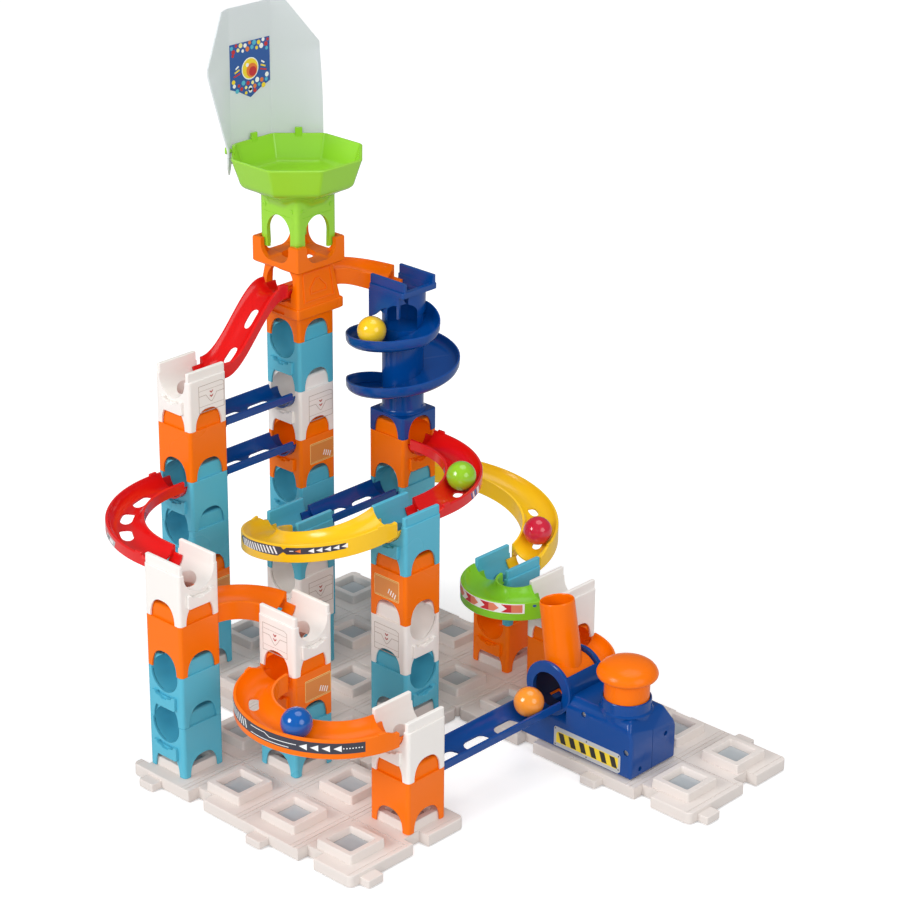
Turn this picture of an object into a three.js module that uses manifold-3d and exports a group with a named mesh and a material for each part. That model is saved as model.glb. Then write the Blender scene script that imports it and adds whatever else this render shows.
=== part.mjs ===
// Marble run toy: ten towers of stacked blocks on interlocking base plates,
// joined by curved and straight tracks, with a spiral, a catching funnel with a
// backboard, a push-button launcher with a leaning tube, and five marbles.
// Units are millimetres, +Z up, the front faces -Y. The origin lies on the underside of
// the base, on the grid corner that sits at the middle of the tower field.
import * as THREE from "three";
import { mergeVertices } from "three/addons/utils/BufferGeometryUtils.js";
import Module from "manifold-3d";

// ---- driving dimensions ----
const PITCH = 50; // grid pitch of the base cells
const PLATE_T = 8; // thickness of a base plate
const BOSS = 30; // outer width of a square boss
const BOSS_H = 6.2; // height of a boss above the plate
const BOSS_HOLE = 18.8; // square opening in a boss
const BLOCK = 33.4; // width of a tower block
const LEVEL = 36; // stacking height of one block
const PLUG = 29.8; // width of the plug that enters the block above
const PLUG_H = 9.4; // height of the plug above the shoulder
const CAVITY = 30.9; // inner width of a block
const CHAMFER = 1.6; // upright corners of the castle, funnel and spiral feet
const ARCH_W = 23; // width of the arch in each side
const ARCH_H = 14; // height of the arch
const MOUTH_Z = 34; // height of a mouth's centre above the block's feet
const MOUTH_R = 12.9; // radius of a mouth
const CHANNEL_R = 12.8; // radius of the groove in a channel block
const CHANNEL_W = 30.6; // width across a channel block's side walls
const CHANNEL_TOP = 41.6; // top of a channel block's side walls
const BALL_R = 10; // marble radius
const TRACK_R = 11.5; // inner radius of a track's groove
const TRACK_W = 25.4; // outer width of a track
const PORT_Z = 40; // height of the castle block's two ports above its feet

// Plan position of a cell's centre by column and row, which may be fractions
const cellX = (column) => (column - 0.5) * PITCH;
const cellY = (row) => (row - 2.5) * PITCH;
const FACE = BLOCK / 2 / PITCH; // from a block's centre to its face, in cells
const mouthZ = (level) => PLATE_T + LEVEL * level + MOUTH_Z;

// ---- colours ----
const TURQUOISE = 0x4fb4cd;
const ORANGE = 0xf57d1e;
const WHITE = 0xf3eee8;
const BLUE = 0x193c96;
const RED = 0xe1231a;
const YELLOW = 0xfac828;
const GREEN = 0x82c83c;
const CLEAR = 0xd7dcde;
const STEEL = 0xb8bcc0;

const { clamp, degToRad, smoothstep } = THREE.MathUtils;
const wasm = await Module();
wasm.setup();
const run = new THREE.Group();

// ---- from geometry to solid and back ----
// Draws corners that differ only by rounding onto one another.
function weld(position) {
  const CELL = 0.02;
  const NEAR = 2e-3;
  const STEPS = [-1, 0, 1];
  const cells = new Map();
  const key = (...cell) => cell.join();
  const findNear = ([x, y, z], [a, b, c]) => {
    for (const i of STEPS) for (const j of STEPS) for (const k of STEPS) {
      for (const seen of cells.get(key(a + i, b + j, c + k)) ?? []) {
        if (Math.hypot(seen[0] - x, seen[1] - y, seen[2] - z) < NEAR) return seen;
      }
    }
    return null;
  };
  for (let i = 0; i < position.count; i++) {
    const point = [position.getX(i), position.getY(i), position.getZ(i)];
    const cell = point.map((value) => Math.round(value / CELL));
    let corner = findNear(point, cell);
    if (!corner) {
      corner = point;
      cells.set(key(...cell), [...(cells.get(key(...cell)) ?? []), point]);
    }
    position.setXYZ(i, ...corner);
  }
}

function toSolid(geometry) {
  const loose = geometry.index ? geometry.toNonIndexed() : geometry.clone();
  for (const name of Object.keys(loose.attributes)) {
    if (name !== "position") loose.deleteAttribute(name);
  }
  weld(loose.attributes.position);
  const merged = mergeVertices(loose, 1e-4);
  const index = merged.index.array;
  const triangles = [];
  for (let i = 0; i < index.length; i += 3) {
    const [a, b, c] = index.subarray(i, i + 3);
    if (a !== b && b !== c && a !== c) triangles.push(a, b, c);
  }
  const make = () => new wasm.Manifold(new wasm.Mesh({
    numProp: 3,
    vertProperties: new Float32Array(merged.attributes.position.array),
    triVerts: new Uint32Array(triangles),
  }));
  const solid = make();
  if (solid.volume() >= 0) return solid;
  // a bent piece can turn inside out
  for (let i = 0; i < triangles.length; i += 3) {
    [triangles[i + 1], triangles[i + 2]] = [triangles[i + 2], triangles[i + 1]];
  }
  return make();
}

function put(name, solid, color, { at = [0, 0, 0], roughness = 0.25, metalness = 0 } = {}) {
  const { vertProperties, triVerts } = solid.getMesh();
  const geometry = new THREE.BufferGeometry()
    .setAttribute("position", new THREE.BufferAttribute(new Float32Array(vertProperties), 3))
    .setIndex(new THREE.BufferAttribute(new Uint32Array(triVerts), 1));
  geometry.computeVertexNormals();
  const material = new THREE.MeshStandardMaterial({ color, roughness, metalness });
  const mesh = new THREE.Mesh(geometry, material);
  mesh.name = name;
  mesh.position.set(...at);
  run.add(mesh);
}

// ---- basic solids and outlines ----
const points = (count, at) => Array.from({ length: count }, (_, i) => at(i));

// A box from its low to its high corner
const box = (low, high) => toSolid(
  new THREE.BoxGeometry(high[0] - low[0], high[1] - low[1], high[2] - low[2])
    .translate((low[0] + high[0]) / 2, (low[1] + high[1]) / 2, (low[2] + high[2]) / 2));
// A square box centred on the Z axis, mostly used as a cutter
const well = (width, z0, z1) => box([-width / 2, -width / 2, z0], [width / 2, width / 2, z1]);

// A cylinder along an axis; centre holds the other two coordinates in their x, y, z order
function cylinder(axis, radius, low, high, centre = [0, 0], sides = 16, endRadius = radius) {
  const [u, v] = centre;
  const middle = (low + high) / 2;
  const geometry = new THREE.CylinderGeometry(endRadius, radius, high - low, sides, 1);
  if (axis === "z") geometry.rotateX(Math.PI / 2).translate(u, v, middle);
  if (axis === "y") geometry.translate(u, middle, v);
  return toSolid(geometry);
}

const vectors = (outline) => outline.map((point) => new THREE.Vector2(...point));
function shape(outline) {
  const closed = new THREE.Shape(vectors(outline));
  closed.closePath();
  return closed;
}
const extrude = (outline, depth, steps = 1) =>
  new THREE.ExtrudeGeometry(shape(outline), { depth, steps, bevelEnabled: false });
// A plan outline pulled up from z0 to z1
const prism = (outline, z0, z1) => toSolid(extrude(outline, z1 - z0).translate(0, 0, z0));
// An outline in the XZ plane pulled along Y
const prismY = (outline, y0, y1) =>
  toSolid(extrude(outline, y1 - y0).rotateX(Math.PI / 2).translate(0, y1, 0));
// An outline in the YZ plane pulled along X
const prismX = (outline, x0, x1) => toSolid(
  extrude(outline, x1 - x0).rotateX(Math.PI / 2).rotateZ(Math.PI / 2).translate(x0, 0, 0));

const chamfered = (x0, x1, y0, y1, c) => [
  [x0 + c, y0], [x1 - c, y0], [x1, y0 + c], [x1, y1 - c],
  [x1 - c, y1], [x0 + c, y1], [x0, y1 - c], [x0, y0 + c],
];
// A square prism centred on the Z axis
function slab(width, z0, z1, chamfer = 0) {
  const h = width / 2;
  const sharp = [[-h, -h], [h, -h], [h, h], [-h, h]];
  return prism(chamfer ? chamfered(-h, h, -h, h, chamfer) : sharp, z0, z1);
}
// A twelve-sided round or oval outline with flats at its four sides
const twelveGon = (radius, z, radiusZ = radius) => points(12, (i) => {
  const angle = (i + 0.5) * Math.PI / 6;
  return [radius * Math.cos(angle), z + radiusZ * Math.sin(angle)];
});
// A round-bottomed trough, open up to a height
const trough = (radius, z, segments, top) => [
  [-radius, top],
  ...points(segments + 1, (i) => {
    const angle = i * Math.PI / segments;
    return [-radius * Math.cos(angle), z - radius * Math.sin(angle)];
  }),
  [radius, top],
];
// A lathe with few sides; the outline is [distance to the flats, z]
const facetLathe = (outline, sides) => toSolid(new THREE.LatheGeometry(
  vectors(outline.map(([flat, z]) => [flat / Math.cos(Math.PI / sides), z])),
  sides, Math.PI / sides).rotateX(Math.PI / 2));
const turnZ = (solid, degrees) => solid.rotate([0, 0, degrees]);
// Moves every vertex of a geometry to place(x, y, z)
function bend(geometry, place) {
  const p = geometry.attributes.position;
  for (let i = 0; i < p.count; i++) p.setXYZ(i, ...place(p.getX(i), p.getY(i), p.getZ(i)));
  return toSolid(geometry);
}

// ---- base plates: cells with bosses, tabs and notches along the rims ----
const TAB_OUT = 8; // how far a tab stands out
const TAB_W = 13;
const NOTCH_GAP = 0.4; // clearance round a tab
// Outward direction of a rim, and its tab and notch in cells from every second cell
const RIMS = {
  "-y": { out: [0, -1], tab: -0.07, notch: 0.72 },
  "+y": { out: [0, 1], tab: 0.72, notch: -0.22 },
  "+x": { out: [1, 0], tab: -0.22, notch: 0.72 },
  "-x": { out: [-1, 0], tab: 0.72, notch: -0.22 },
};
// Columns a0 to a1 and rows b0 to b1; rims lists the sides with tabs and notches
function plate(a0, a1, b0, b1, rims) {
  const x0 = cellX(a0 - 0.5);
  const x1 = cellX(a1 + 0.5);
  const y0 = cellY(b0 - 0.5);
  const y1 = cellY(b1 + 0.5);
  const cells = [];
  for (let a = a0; a <= a1; a++) for (let b = b0; b <= b1; b++) cells.push([cellX(a), cellY(b), 0]);
  let solid = prism(chamfered(x0, x1, y0, y1, 4), 0, PLATE_T);
  const boss = slab(BOSS, PLATE_T - 1, PLATE_T + BOSS_H);
  const opening = well(BOSS_HOLE, 1.6, 20);
  for (const cell of cells) solid = solid.add(boss.translate(cell));
  for (const cell of cells) solid = solid.subtract(opening.translate(cell));

  for (const rim of rims) {
    const { out: [dx, dy], tab, notch } = RIMS[rim];
    // a box at a place along the rim, reaching outward (sign 1) or inward (sign -1)
    const rimBox = (cell, sign, gap, z0, z1) => {
      const deep = TAB_OUT / 2 + gap;
      const wide = TAB_W / 2 + gap;
      const [hx, hy] = dx ? [deep, wide] : [wide, deep];
      const x = dx ? (dx > 0 ? x1 : x0) : cellX(cell);
      const y = dy ? (dy > 0 ? y1 : y0) : cellY(cell);
      const shift = sign * TAB_OUT / 2;
      return box([-hx, -hy, z0], [hx, hy, z1]).translate([x + dx * shift, y + dy * shift, 0]);
    };
    const [first, last] = dx ? [b0, b1] : [a0, a1];
    for (let cell = first; cell <= last; cell += 2) {
      solid = solid.add(rimBox(cell + tab, 1, 0, 0, 5.6));
      solid = solid.subtract(rimBox(cell + notch, -1, NOTCH_GAP, -1, 9));
    }
  }
  return solid;
}
// strips that bridge the seam between two plates
const frontJoin = box([cellX(-0.4), cellY(1.45), 0], [cellX(1.4), cellY(1.55), PLATE_T]);
const rearJoin = box([cellX(1.45), cellY(3.6), 0], [cellX(1.55), cellY(5.4), PLATE_T]);
// clearance between the front and the rear pair
const seam = box([cellX(-3), cellY(3.4), -1], [cellX(1.6), cellY(3.5) + 0.3, 20]);
put("base_plates_front", plate(0, 3, 0, 1, ["-y", "+x", "-x"])
  .add(plate(-2, 1, 2, 3, ["-x", "+x"])).add(frontJoin), WHITE);
put("base_plates_rear", plate(-2, 1, 4, 5, ["+y", "-x"])
  .add(plate(2, 5, 4, 5, ["-y", "+x", "+y"])).add(rearJoin).subtract(seam), WHITE);

// ---- tower blocks ----
const TURN = { "-y": 0, "+x": 90, "+y": 180, "-x": 270 }; // turns the -y face to a side
const archOutline = [
  [-ARCH_W / 2, -1],
  ...points(5, (i) => {
    const angle = Math.PI - (i * Math.PI) / 4;
    return [(ARCH_W / 2) * Math.cos(angle), ARCH_H * Math.sin(angle)];
  }),
  [ARCH_W / 2, -1],
];
const archY = prismY(archOutline, -20, 20);
const arches = archY.add(turnZ(archY, 90));
const mouthCut = prismY(twelveGon(MOUTH_R, MOUTH_Z), -20, -8);
// a ledge on the face below a mouth
const bracket = box([-11, -BLOCK / 2 - 2.2, 14], [11, -BLOCK / 2 + 0.3, 19]);

// mouths: [side, level inside the block], the level being the top one if left out
function block(mouths = [], levels = 1) {
  const top = LEVEL * levels;
  const places = mouths.map(([side, level = levels - 1]) => [TURN[side], LEVEL * level]);
  let solid = slab(BLOCK, 0, top);
  for (const [turn, z] of places) solid = solid.add(turnZ(bracket, turn).translate([0, 0, z]));
  solid = solid.add(slab(PLUG, top - 1, top + PLUG_H))
    .subtract(well(CAVITY, -1, top - 2))
    .subtract(well(20.8, top - 3, top + 20)); // shaft for a falling marble
  for (let k = 0; k < levels; k++) solid = solid.subtract(arches.translate([0, 0, LEVEL * k]));
  // a floor inside, below each mouth
  for (const [, z] of places) solid = solid.add(well(31.2, z + 18.6, z + 21.2));
  for (const [turn, z] of places) {
    solid = solid.subtract(turnZ(mouthCut, turn).translate([0, 0, z]));
  }
  return solid;
}

// A block with an open groove along the given axis on top
function channel(axis) {
  const solid = slab(BLOCK, 0, 35.4)
    .add(box([-CHANNEL_W / 2, -BLOCK / 2, 35], [CHANNEL_W / 2, BLOCK / 2, CHANNEL_TOP]))
    .add(bracket)
    .add(turnZ(bracket, TURN["+y"]))
    .subtract(well(CAVITY, -1, 18))
    .subtract(prismY(trough(CHANNEL_R, MOUTH_Z, 6, 60), -20, 20))
    .subtract(cylinder("z", 10.5, 10, 30, [0, 0], 8))
    .subtract(arches);
  return axis === "x" ? turnZ(solid, 90) : solid;
}

const tower = (name, solid, colour, column, row, level) =>
  put(name, solid, colour, { at: [cellX(column), cellY(row), PLATE_T + LEVEL * level] });

tower("tower1_block_lower", block([["-y", 0], ["-y", 1]], 2), TURQUOISE, 0, 0, 0);
tower("tower1_block_upper", block([["+y"]]), ORANGE, 0, 0, 2);
tower("tower1_channel", channel("x"), WHITE, 0, 0, 3);
tower("tower2_block_lower", block(), TURQUOISE, 1, 1, 0);
tower("tower2_block_upper", block([["-y"]]), ORANGE, 1, 1, 1);
tower("tower2_channel", channel("x"), WHITE, 1, 1, 2);
tower("tower3_block_0", block(), TURQUOISE, -2, 2, 0);
tower("tower3_block_1", block(), ORANGE, -2, 2, 1);
tower("tower3_blocks_2_3", block([["-y", 0], ["-y", 1], ["+y", 1]], 2), TURQUOISE, -2, 2, 2);
tower("tower3_block_4", block([["+y"]]), ORANGE, -2, 2, 4);
tower("tower3_channel", channel("y"), WHITE, -2, 2, 5);
tower("tower4_block", block([["+y"]]), ORANGE, 3, 1, 0);
tower("tower4_channel", channel("y"), WHITE, 3, 1, 1);
tower("tower5_blocks_0_2", block([["-y", 2]], 3), TURQUOISE, -2, 4, 0);
tower("tower5_block_3", block([["-y"]]), ORANGE, -2, 4, 3);
tower("tower5_block_4", block([["-y"]]), WHITE, -2, 4, 4);
tower("tower5_block_5", block([["-y"]]), TURQUOISE, -2, 4, 5);
tower("tower6_block_0", block([["+x"]]), TURQUOISE, 1, 3, 0);
tower("tower6_block_1", block([["+x"]]), WHITE, 1, 3, 1);
tower("tower6_block_2", block(), ORANGE, 1, 3, 2);
tower("tower6_channel", channel("y"), TURQUOISE, 1, 3, 3);
tower("tower7_block_0", block(), TURQUOISE, -1, 3, 0);
tower("tower7_block_1", block([["-y"]]), WHITE, -1, 3, 1);
tower("tower7_channel", channel("y"), TURQUOISE, -1, 3, 2);
tower("tower8_block", block([["-y"]]), ORANGE, 1, 5, 0);
tower("tower8_channel", channel("y"), TURQUOISE, 1, 5, 1);
tower("tower9_block", block([["+x"]]), ORANGE, 2, 5, 0);
tower("tower9_channel", channel("y"), WHITE, 2, 5, 1);
tower("tower10_blocks_0_2", block([["-y", 2], ["+y", 2]], 3), TURQUOISE, -1, 5, 0);
tower("tower10_block_3", block([["+x"]]), ORANGE, -1, 5, 3);

// ---- castle block under the funnel, two levels high ----
function castle() {
  const port = twelveGon(MOUTH_R, PORT_Z);
  // the half-round dip in each wall round the top
  const dip = prismY(twelveGon(11, 68), -24, 24).subtract(well(31.2, 40, 80));
  return slab(BLOCK, 0, 19, CHAMFER)
    .add(slab(43, 17.5, 26, 1))
    .add(facetLathe([[0, 25.5], [20.4, 25.5], [16.8, 52], [0, 52]], 4))
    .add(slab(44.6, 50.5, 70, 1))
    .subtract(well(CAVITY, -1, 16.5))
    .subtract(arches)
    .subtract(cylinder("z", 11.5, 14, 52, [0, 0], 12))
    .subtract(well(30.4, 64.3, 90))
    .subtract(cylinder("z", 11, 50, 80, [0, 0], 12))
    .subtract(prismY(port, -24, -6))
    .subtract(prismY(port, 6, 24))
    .subtract(dip)
    .subtract(turnZ(dip, 90));
}
tower("castle_block", castle(), ORANGE, -2, 4, 6);

// ---- catching funnel: a foot like a block, and an eight-sided tray ----
const RIM_FLAT = 43.5; // half the distance across the flats at the rim
// [distance to the flats, z]: underside, rim, then the inside down to the middle
const TRAY_OUTLINE = [
  [0, 26], [17.2, 26], [36.5, 36], [38.5, 38.5], [RIM_FLAT, 56.5],
  [RIM_FLAT - 2, 56.5], [36.8, 40.5], [11.5, 36.5], [0, 36.5],
];
function funnel() {
  const oval = prismY(twelveGon(9.6, 5, 11), -20, 20).intersect(well(40, -1.8, 20));
  let solid = slab(36.8, -1.7, 27.5, CHAMFER)
    .add(slab(29.6, -7, 0))
    .subtract(well(26.8, -9, 24))
    .subtract(oval)
    .subtract(turnZ(oval, 90))
    .add(facetLathe(TRAY_OUTLINE, 8))
    .subtract(cylinder("z", 11.2, 20, 60));
  // backboard clip: a post on the rim, an arm under the board and an upright behind it
  const clip = box([-2.5, 41.2, 50], [2.5, RIM_FLAT, 61])
    .add(box([-3, 37, 37.5], [3, 49.4, 39.9]))
    .add(box([-3, 47.2, 37.5], [3, 49.4, 60]));
  for (const degrees of [45, 90, 135]) solid = solid.add(turnZ(clip, degrees));
  return solid;
}
tower("funnel", funnel(), GREEN, -2, 4, 8);

// ---- backboard: one sheet folded along two upright lines ----
function backboard() {
  const INNER = 44.9; // inner face of the middle panel, from the funnel's axis
  const T = 1; // thickness
  const HALF_PANEL = INNER * Math.tan(Math.PI / 8);
  const FOLD = 0.4; // where the fold lies in the sheet's -1 to 1 width
  const BOTTOM = 330; // heights above the base plate
  const TOP = 437;
  const WING = 35.5; // widest reach of a wing
  // a wing tapers towards its top and bottom
  const wingWidth = (z) => Math.min(WING - Math.max(0, (z - 405) * 0.78), 24 + (z - BOTTOM) * 1.4);
  const sheet = new THREE.BoxGeometry(2, 2, 1, 10, 6, 1);
  const solid = bend(sheet, (u, v, w) => {
    const across = Math.abs(u);
    const onFold = Math.abs(across - FOLD) < 1e-4;
    const inWing = !onFold && across > FOLD;
    const out = (w + 0.5) * T;
    const z = BOTTOM + (TOP - BOTTOM) * (v + 1) / 2;
    const along = Math.min(1, across / FOLD) * HALF_PANEL;
    const reach = inWing ? ((across - FOLD) / (1 - FOLD)) * wingWidth(z) : 0;
    const turn = degToRad(45 - 20 * clamp((z - 350) / 50, 0, 1)); // the wings open upwards
    const facing = onFold ? turn / 2 : inWing ? turn : 0;
    return [
      -INNER - out * (onFold ? 1 : Math.cos(facing)) + reach * Math.sin(turn),
      Math.sign(u) * (along + reach * Math.cos(turn) + out * Math.sin(facing)),
      z,
    ];
  });
  put("backboard", solid, CLEAR, { at: [cellX(-2), cellY(4), PLATE_T], roughness: 0.35 });
}
backboard();

// ---- track paths ----
// A path has a length and at(s), the plan position and left-hand normal at a distance.
function line(x0, y0, x1, y1) {
  const length = Math.hypot(x1 - x0, y1 - y0);
  const [dx, dy] = [(x1 - x0) / length, (y1 - y0) / length];
  return { length, at: (s) => ({ x: x0 + dx * s, y: y0 + dy * s, left: [-dy, dx] }) };
}
// Angles are in degrees; a positive sweep turns left.
function arc(cx, cy, radius, from, sweepDeg) {
  const sign = Math.sign(sweepDeg);
  const at = (s) => {
    const angle = degToRad(from) + sign * s / radius;
    const [cos, sin] = [Math.cos(angle), Math.sin(angle)];
    return { x: cx + radius * cos, y: cy + radius * sin, left: [-sign * cos, -sign * sin] };
  };
  return { length: degToRad(Math.abs(sweepDeg)) * radius, at };
}
// A half turn between two faces in one plane; its depth may differ from its radius
function halfTurn(cx, cy, radius, depth, from, sweepDeg) {
  const sign = Math.sign(sweepDeg);
  const length = Math.PI * (radius + depth) / 2;
  const at = (s) => {
    const angle = degToRad(from + sweepDeg * s / length);
    const dx = -sign * radius * Math.sin(angle);
    const dy = sign * depth * Math.cos(angle);
    const d = Math.hypot(dx, dy);
    return {
      x: cx + radius * Math.cos(angle),
      y: cy + depth * Math.sin(angle),
      left: [-dy / d, dx / d],
    };
  };
  return { length, at };
}
const STRAIGHT = 10; // straight run at both ends of a long quarter turn
function quarterTurn(cx, cy, radius, from, sweepDeg) {
  const sign = Math.sign(sweepDeg);
  const straight = (degrees) => {
    const [cos, sin] = [Math.cos(degToRad(degrees)), Math.sin(degToRad(degrees))];
    const [dx, dy] = [-sign * sin, sign * cos];
    const at = (s) => ({
      x: cx + radius * cos + dx * s, y: cy + radius * sin + dy * s, left: [-dy, dx],
    });
    return { at, shift: [STRAIGHT * (cos + dx), STRAIGHT * (sin + dy)] };
  };
  const start = straight(from);
  const end = straight(from + sweepDeg);
  const [shiftX, shiftY] = start.shift;
  const middle = arc(cx + shiftX, cy + shiftY, radius - STRAIGHT, from, sweepDeg);
  const length = middle.length + 2 * STRAIGHT;
  const at = (s) => {
    if (s < STRAIGHT) return start.at(s);
    if (s > length - STRAIGHT) return end.at(s - length);
    return middle.at(s - STRAIGHT);
  };
  return { length, at };
}
// The straight line that touches a path at a distance along it
function tangentAt(path, distance) {
  const { x, y, left } = path.at(distance);
  return { at: (s) => ({ x: x + left[1] * s, y: y - left[0] * s, left }) };
}

// ---- track bodies ----
// Pulls a cross-section [left, up] along a path from s0 to s1
const sweep = (profile, path, height, s0, s1, steps) =>
  bend(extrude(profile, s1 - s0, steps), (u, v, w) => {
    const s = s0 + w;
    const { x, y, left } = path.at(s);
    return [x + left[0] * u, y + left[1] * u, height(s) + v];
  });
// A round groove from its right edge to its left edge, both at height top
function groove(radius, top) {
  const edge = Math.asin(-top / radius);
  return points(6, (i) => {
    const angle = -edge - i * (Math.PI - 2 * edge) / 5;
    return [radius * Math.cos(angle), radius * Math.sin(angle)];
  });
}
const RIM = -3; // a track's rim, from the groove's centre
const KEEL = -12.7; // underside of the groove where the side skirts are short
const section = (skirt) => [
  [-TRACK_W / 2, RIM], [-TRACK_W / 2, skirt],
  ...(skirt > -12.6 ? [[-4.5, KEEL], [4.5, KEEL]] : []),
  [TRACK_W / 2, skirt], [TRACK_W / 2, RIM],
  ...groove(TRACK_R, RIM),
];
const TONGUE_R = 12.2;
const TONGUE_OUT = 5; // how far a tongue reaches past the block's face
const TONGUE = [
  ...points(6, (i) => {
    const angle = 0.17 + i * (Math.PI - 0.34) / 5;
    return [-TONGUE_R * Math.cos(angle), -TONGUE_R * Math.sin(angle)];
  }),
  ...groove(10.9, -2),
];
// The body of a track runs higher than the mouths it joins; a tongue at each end drops
// into the mouth. z: heights of the two mouths. lift: the body's groove above each mouth.
// slots: cuts through the floor, as fractions of the length. lead: gap between each
// face and the body. skirt: lower edge of the sides. slotHalf: half a slot's width.
function track(name, colour, path, {
  z, lift, steps, slots = [], ease = (t) => t, endTongue = true,
  lead = [2.8, 2.8], skirt = -15.8, slotHalf = 3,
}) {
  const { length } = path;
  const start = z[0] + lift[0];
  const end = z[1] + lift[1];
  const height = (s) => start + (end - start) * ease(s / length);
  let solid = sweep(section(skirt), path, height, lead[0], length - lead[1], steps)
    .add(sweep(TONGUE, tangentAt(path, 0), () => z[0], -TONGUE_OUT, lead[0] + 1.5, 1));
  if (endTongue) {
    const tangent = tangentAt(path, length);
    solid = solid.add(sweep(TONGUE, tangent, () => z[1], -lead[1] - 1.5, TONGUE_OUT, 1));
  }
  const slot = [[-slotHalf, -20], [slotHalf, -20], [slotHalf, 0], [-slotHalf, 0]];
  for (const [from, to] of slots) {
    solid = solid.subtract(sweep(slot, path, height, from * length, to * length, 1));
  }
  put(name, solid, colour);
}

// ---- curved tracks ----
const LONG_R = (2 - FACE) * PITCH; // radius of a long quarter turn
const SHORT_R = (1 - FACE) * PITCH; // radius of a short quarter turn
const U_DEPTH = 47; // how far a wide half turn stands out
const CASTLE_Z = PLATE_T + LEVEL * 6 + PORT_Z;
track("track_red_ramp", RED, line(cellX(-2), cellY(4 - FACE), cellX(-2), cellY(2 + FACE)), {
  z: [CASTLE_Z, mouthZ(5)], lift: [6, 6], steps: 10,
  slots: [[0.26, 0.36], [0.44, 0.54], [0.64, 0.76]],
  ease: (t) => smoothstep(t, 0.12, 0.94), lead: [5.6, 2.8], skirt: -12,
});
track("track_orange_top", ORANGE, arc(cellX(-2) + SHORT_R, cellY(4 + FACE), SHORT_R, 180, -90), {
  z: [CASTLE_Z, mouthZ(6)], lift: [6.5, 9.5], steps: 6,
  ease: (t) => smoothstep(t, 0.2, 0.9), lead: [8, 2.8], skirt: -14.5,
});
track("track_red_left", RED, quarterTurn(cellX(-2) + LONG_R, cellY(2 - FACE), LONG_R, 180, 90), {
  z: [mouthZ(3), mouthZ(3)], lift: [5.8, 5.8], steps: 9,
  slots: [[0.19, 0.29], [0.37, 0.47], [0.55, 0.65]], skirt: -10.5,
});
track("track_orange_left", ORANGE, arc(cellX(1 - FACE), cellY(FACE), SHORT_R, 180, -90), {
  z: [mouthZ(2), mouthZ(2)], lift: [8, 8], steps: 7,
});
track("track_orange_front", ORANGE, halfTurn(cellX(2), cellY(1 - FACE), PITCH, U_DEPTH, 0, -180), {
  z: [mouthZ(1), mouthZ(1)], lift: [8.4, 8.4], steps: 12,
  slots: [[0.22, 0.27], [0.66, 0.71]],
});
track("track_yellow_left", YELLOW, halfTurn(cellX(0), cellY(3 - FACE), PITCH, U_DEPTH, 0, -180), {
  z: [mouthZ(3), mouthZ(2)], lift: [12, 9], steps: 12,
  slots: [[0.3, 0.36], [0.66, 0.72]],
});
const YELLOW_RIGHT = { z: [mouthZ(2), mouthZ(1)], lift: [11, 10] };
track("track_yellow_right", YELLOW,
  halfTurn(cellX(0), cellY(5 + FACE), PITCH, U_DEPTH, 180, -180), {
    ...YELLOW_RIGHT, steps: 12, slots: [[0.6, 0.66], [0.72, 0.78], [0.84, 0.9]],
  });
track("track_red_right", RED, quarterTurn(cellX(-1 + FACE), cellY(5) - LONG_R, LONG_R, 90, -90), {
  z: [mouthZ(3), mouthZ(3)], lift: [5.8, 5.8], steps: 9,
  slots: [[0.45, 0.52], [0.66, 0.73]], skirt: -10.5,
});
track("track_green", GREEN, halfTurn(cellX(1.5), cellY(5 - FACE), PITCH / 2, 27.5, 180, 180), {
  z: [mouthZ(1), mouthZ(1)], lift: [9.4, 9.4], steps: 9,
});
track("track_orange_feed", ORANGE, arc(cellX(2 + FACE), cellY(5) - SHORT_R, SHORT_R, 90, -90), {
  z: [mouthZ(0), mouthZ(0)], lift: [10, 8], steps: 7, endTongue: false, lead: [2.8, 1],
});

// ---- straight rails ----
const RAIL_LIFT = 4.5;
const RAIL = { lift: [RAIL_LIFT, RAIL_LIFT], steps: 1, skirt: -8.5, slotHalf: 5.4 };
// [name, column, rear row, front row, level]
for (const [name, column, rear, front, level] of [
  ["rail_upper", -2, 4, 2, 4],
  ["rail_lower", -2, 4, 2, 3],
  ["rail_middle", -1, 5, 3, 2],
]) {
  const x = cellX(column);
  track(name, BLUE, line(x, cellY(rear - FACE), x, cellY(front + FACE)), {
    ...RAIL, z: [mouthZ(level), mouthZ(level)], slots: [[0.16, 0.45], [0.55, 0.84]],
  });
}

// ---- launcher ----
const TUBE_X = cellX(3); // axis of the tube's drum, along Y
const TUBE_Z = PLATE_T + 40.5;
const FRONT_Y = cellY(3.6); // outer faces of the drum housing's two rings
const REAR_Y = cellY(4.32);
const RING_T = 3; // thickness of a ring
const BUTTON_X = cellX(4.05);
const BUTTON_Y = cellY(3.94);
const BUTTON = [BUTTON_X, BUTTON_Y];
const PEG_X = BUTTON_X - 8; // the peg under the button
const FOOT_Z = PLATE_T + 0.3; // underside of the launcher
const drumCylinder = (radius, y0, y1, sides = 20, z = TUBE_Z) =>
  cylinder("y", radius, y0, y1, [TUBE_X, z], sides);

track("rail_launcher", BLUE, line(cellX(3), cellY(1 + FACE), cellX(3), FRONT_Y), {
  ...RAIL, z: [mouthZ(0), mouthZ(0)], slots: [[0.07, 0.26], [0.32, 0.51], [0.57, 0.76]],
  endTongue: false, lead: [2.8, 0.4],
});

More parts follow.
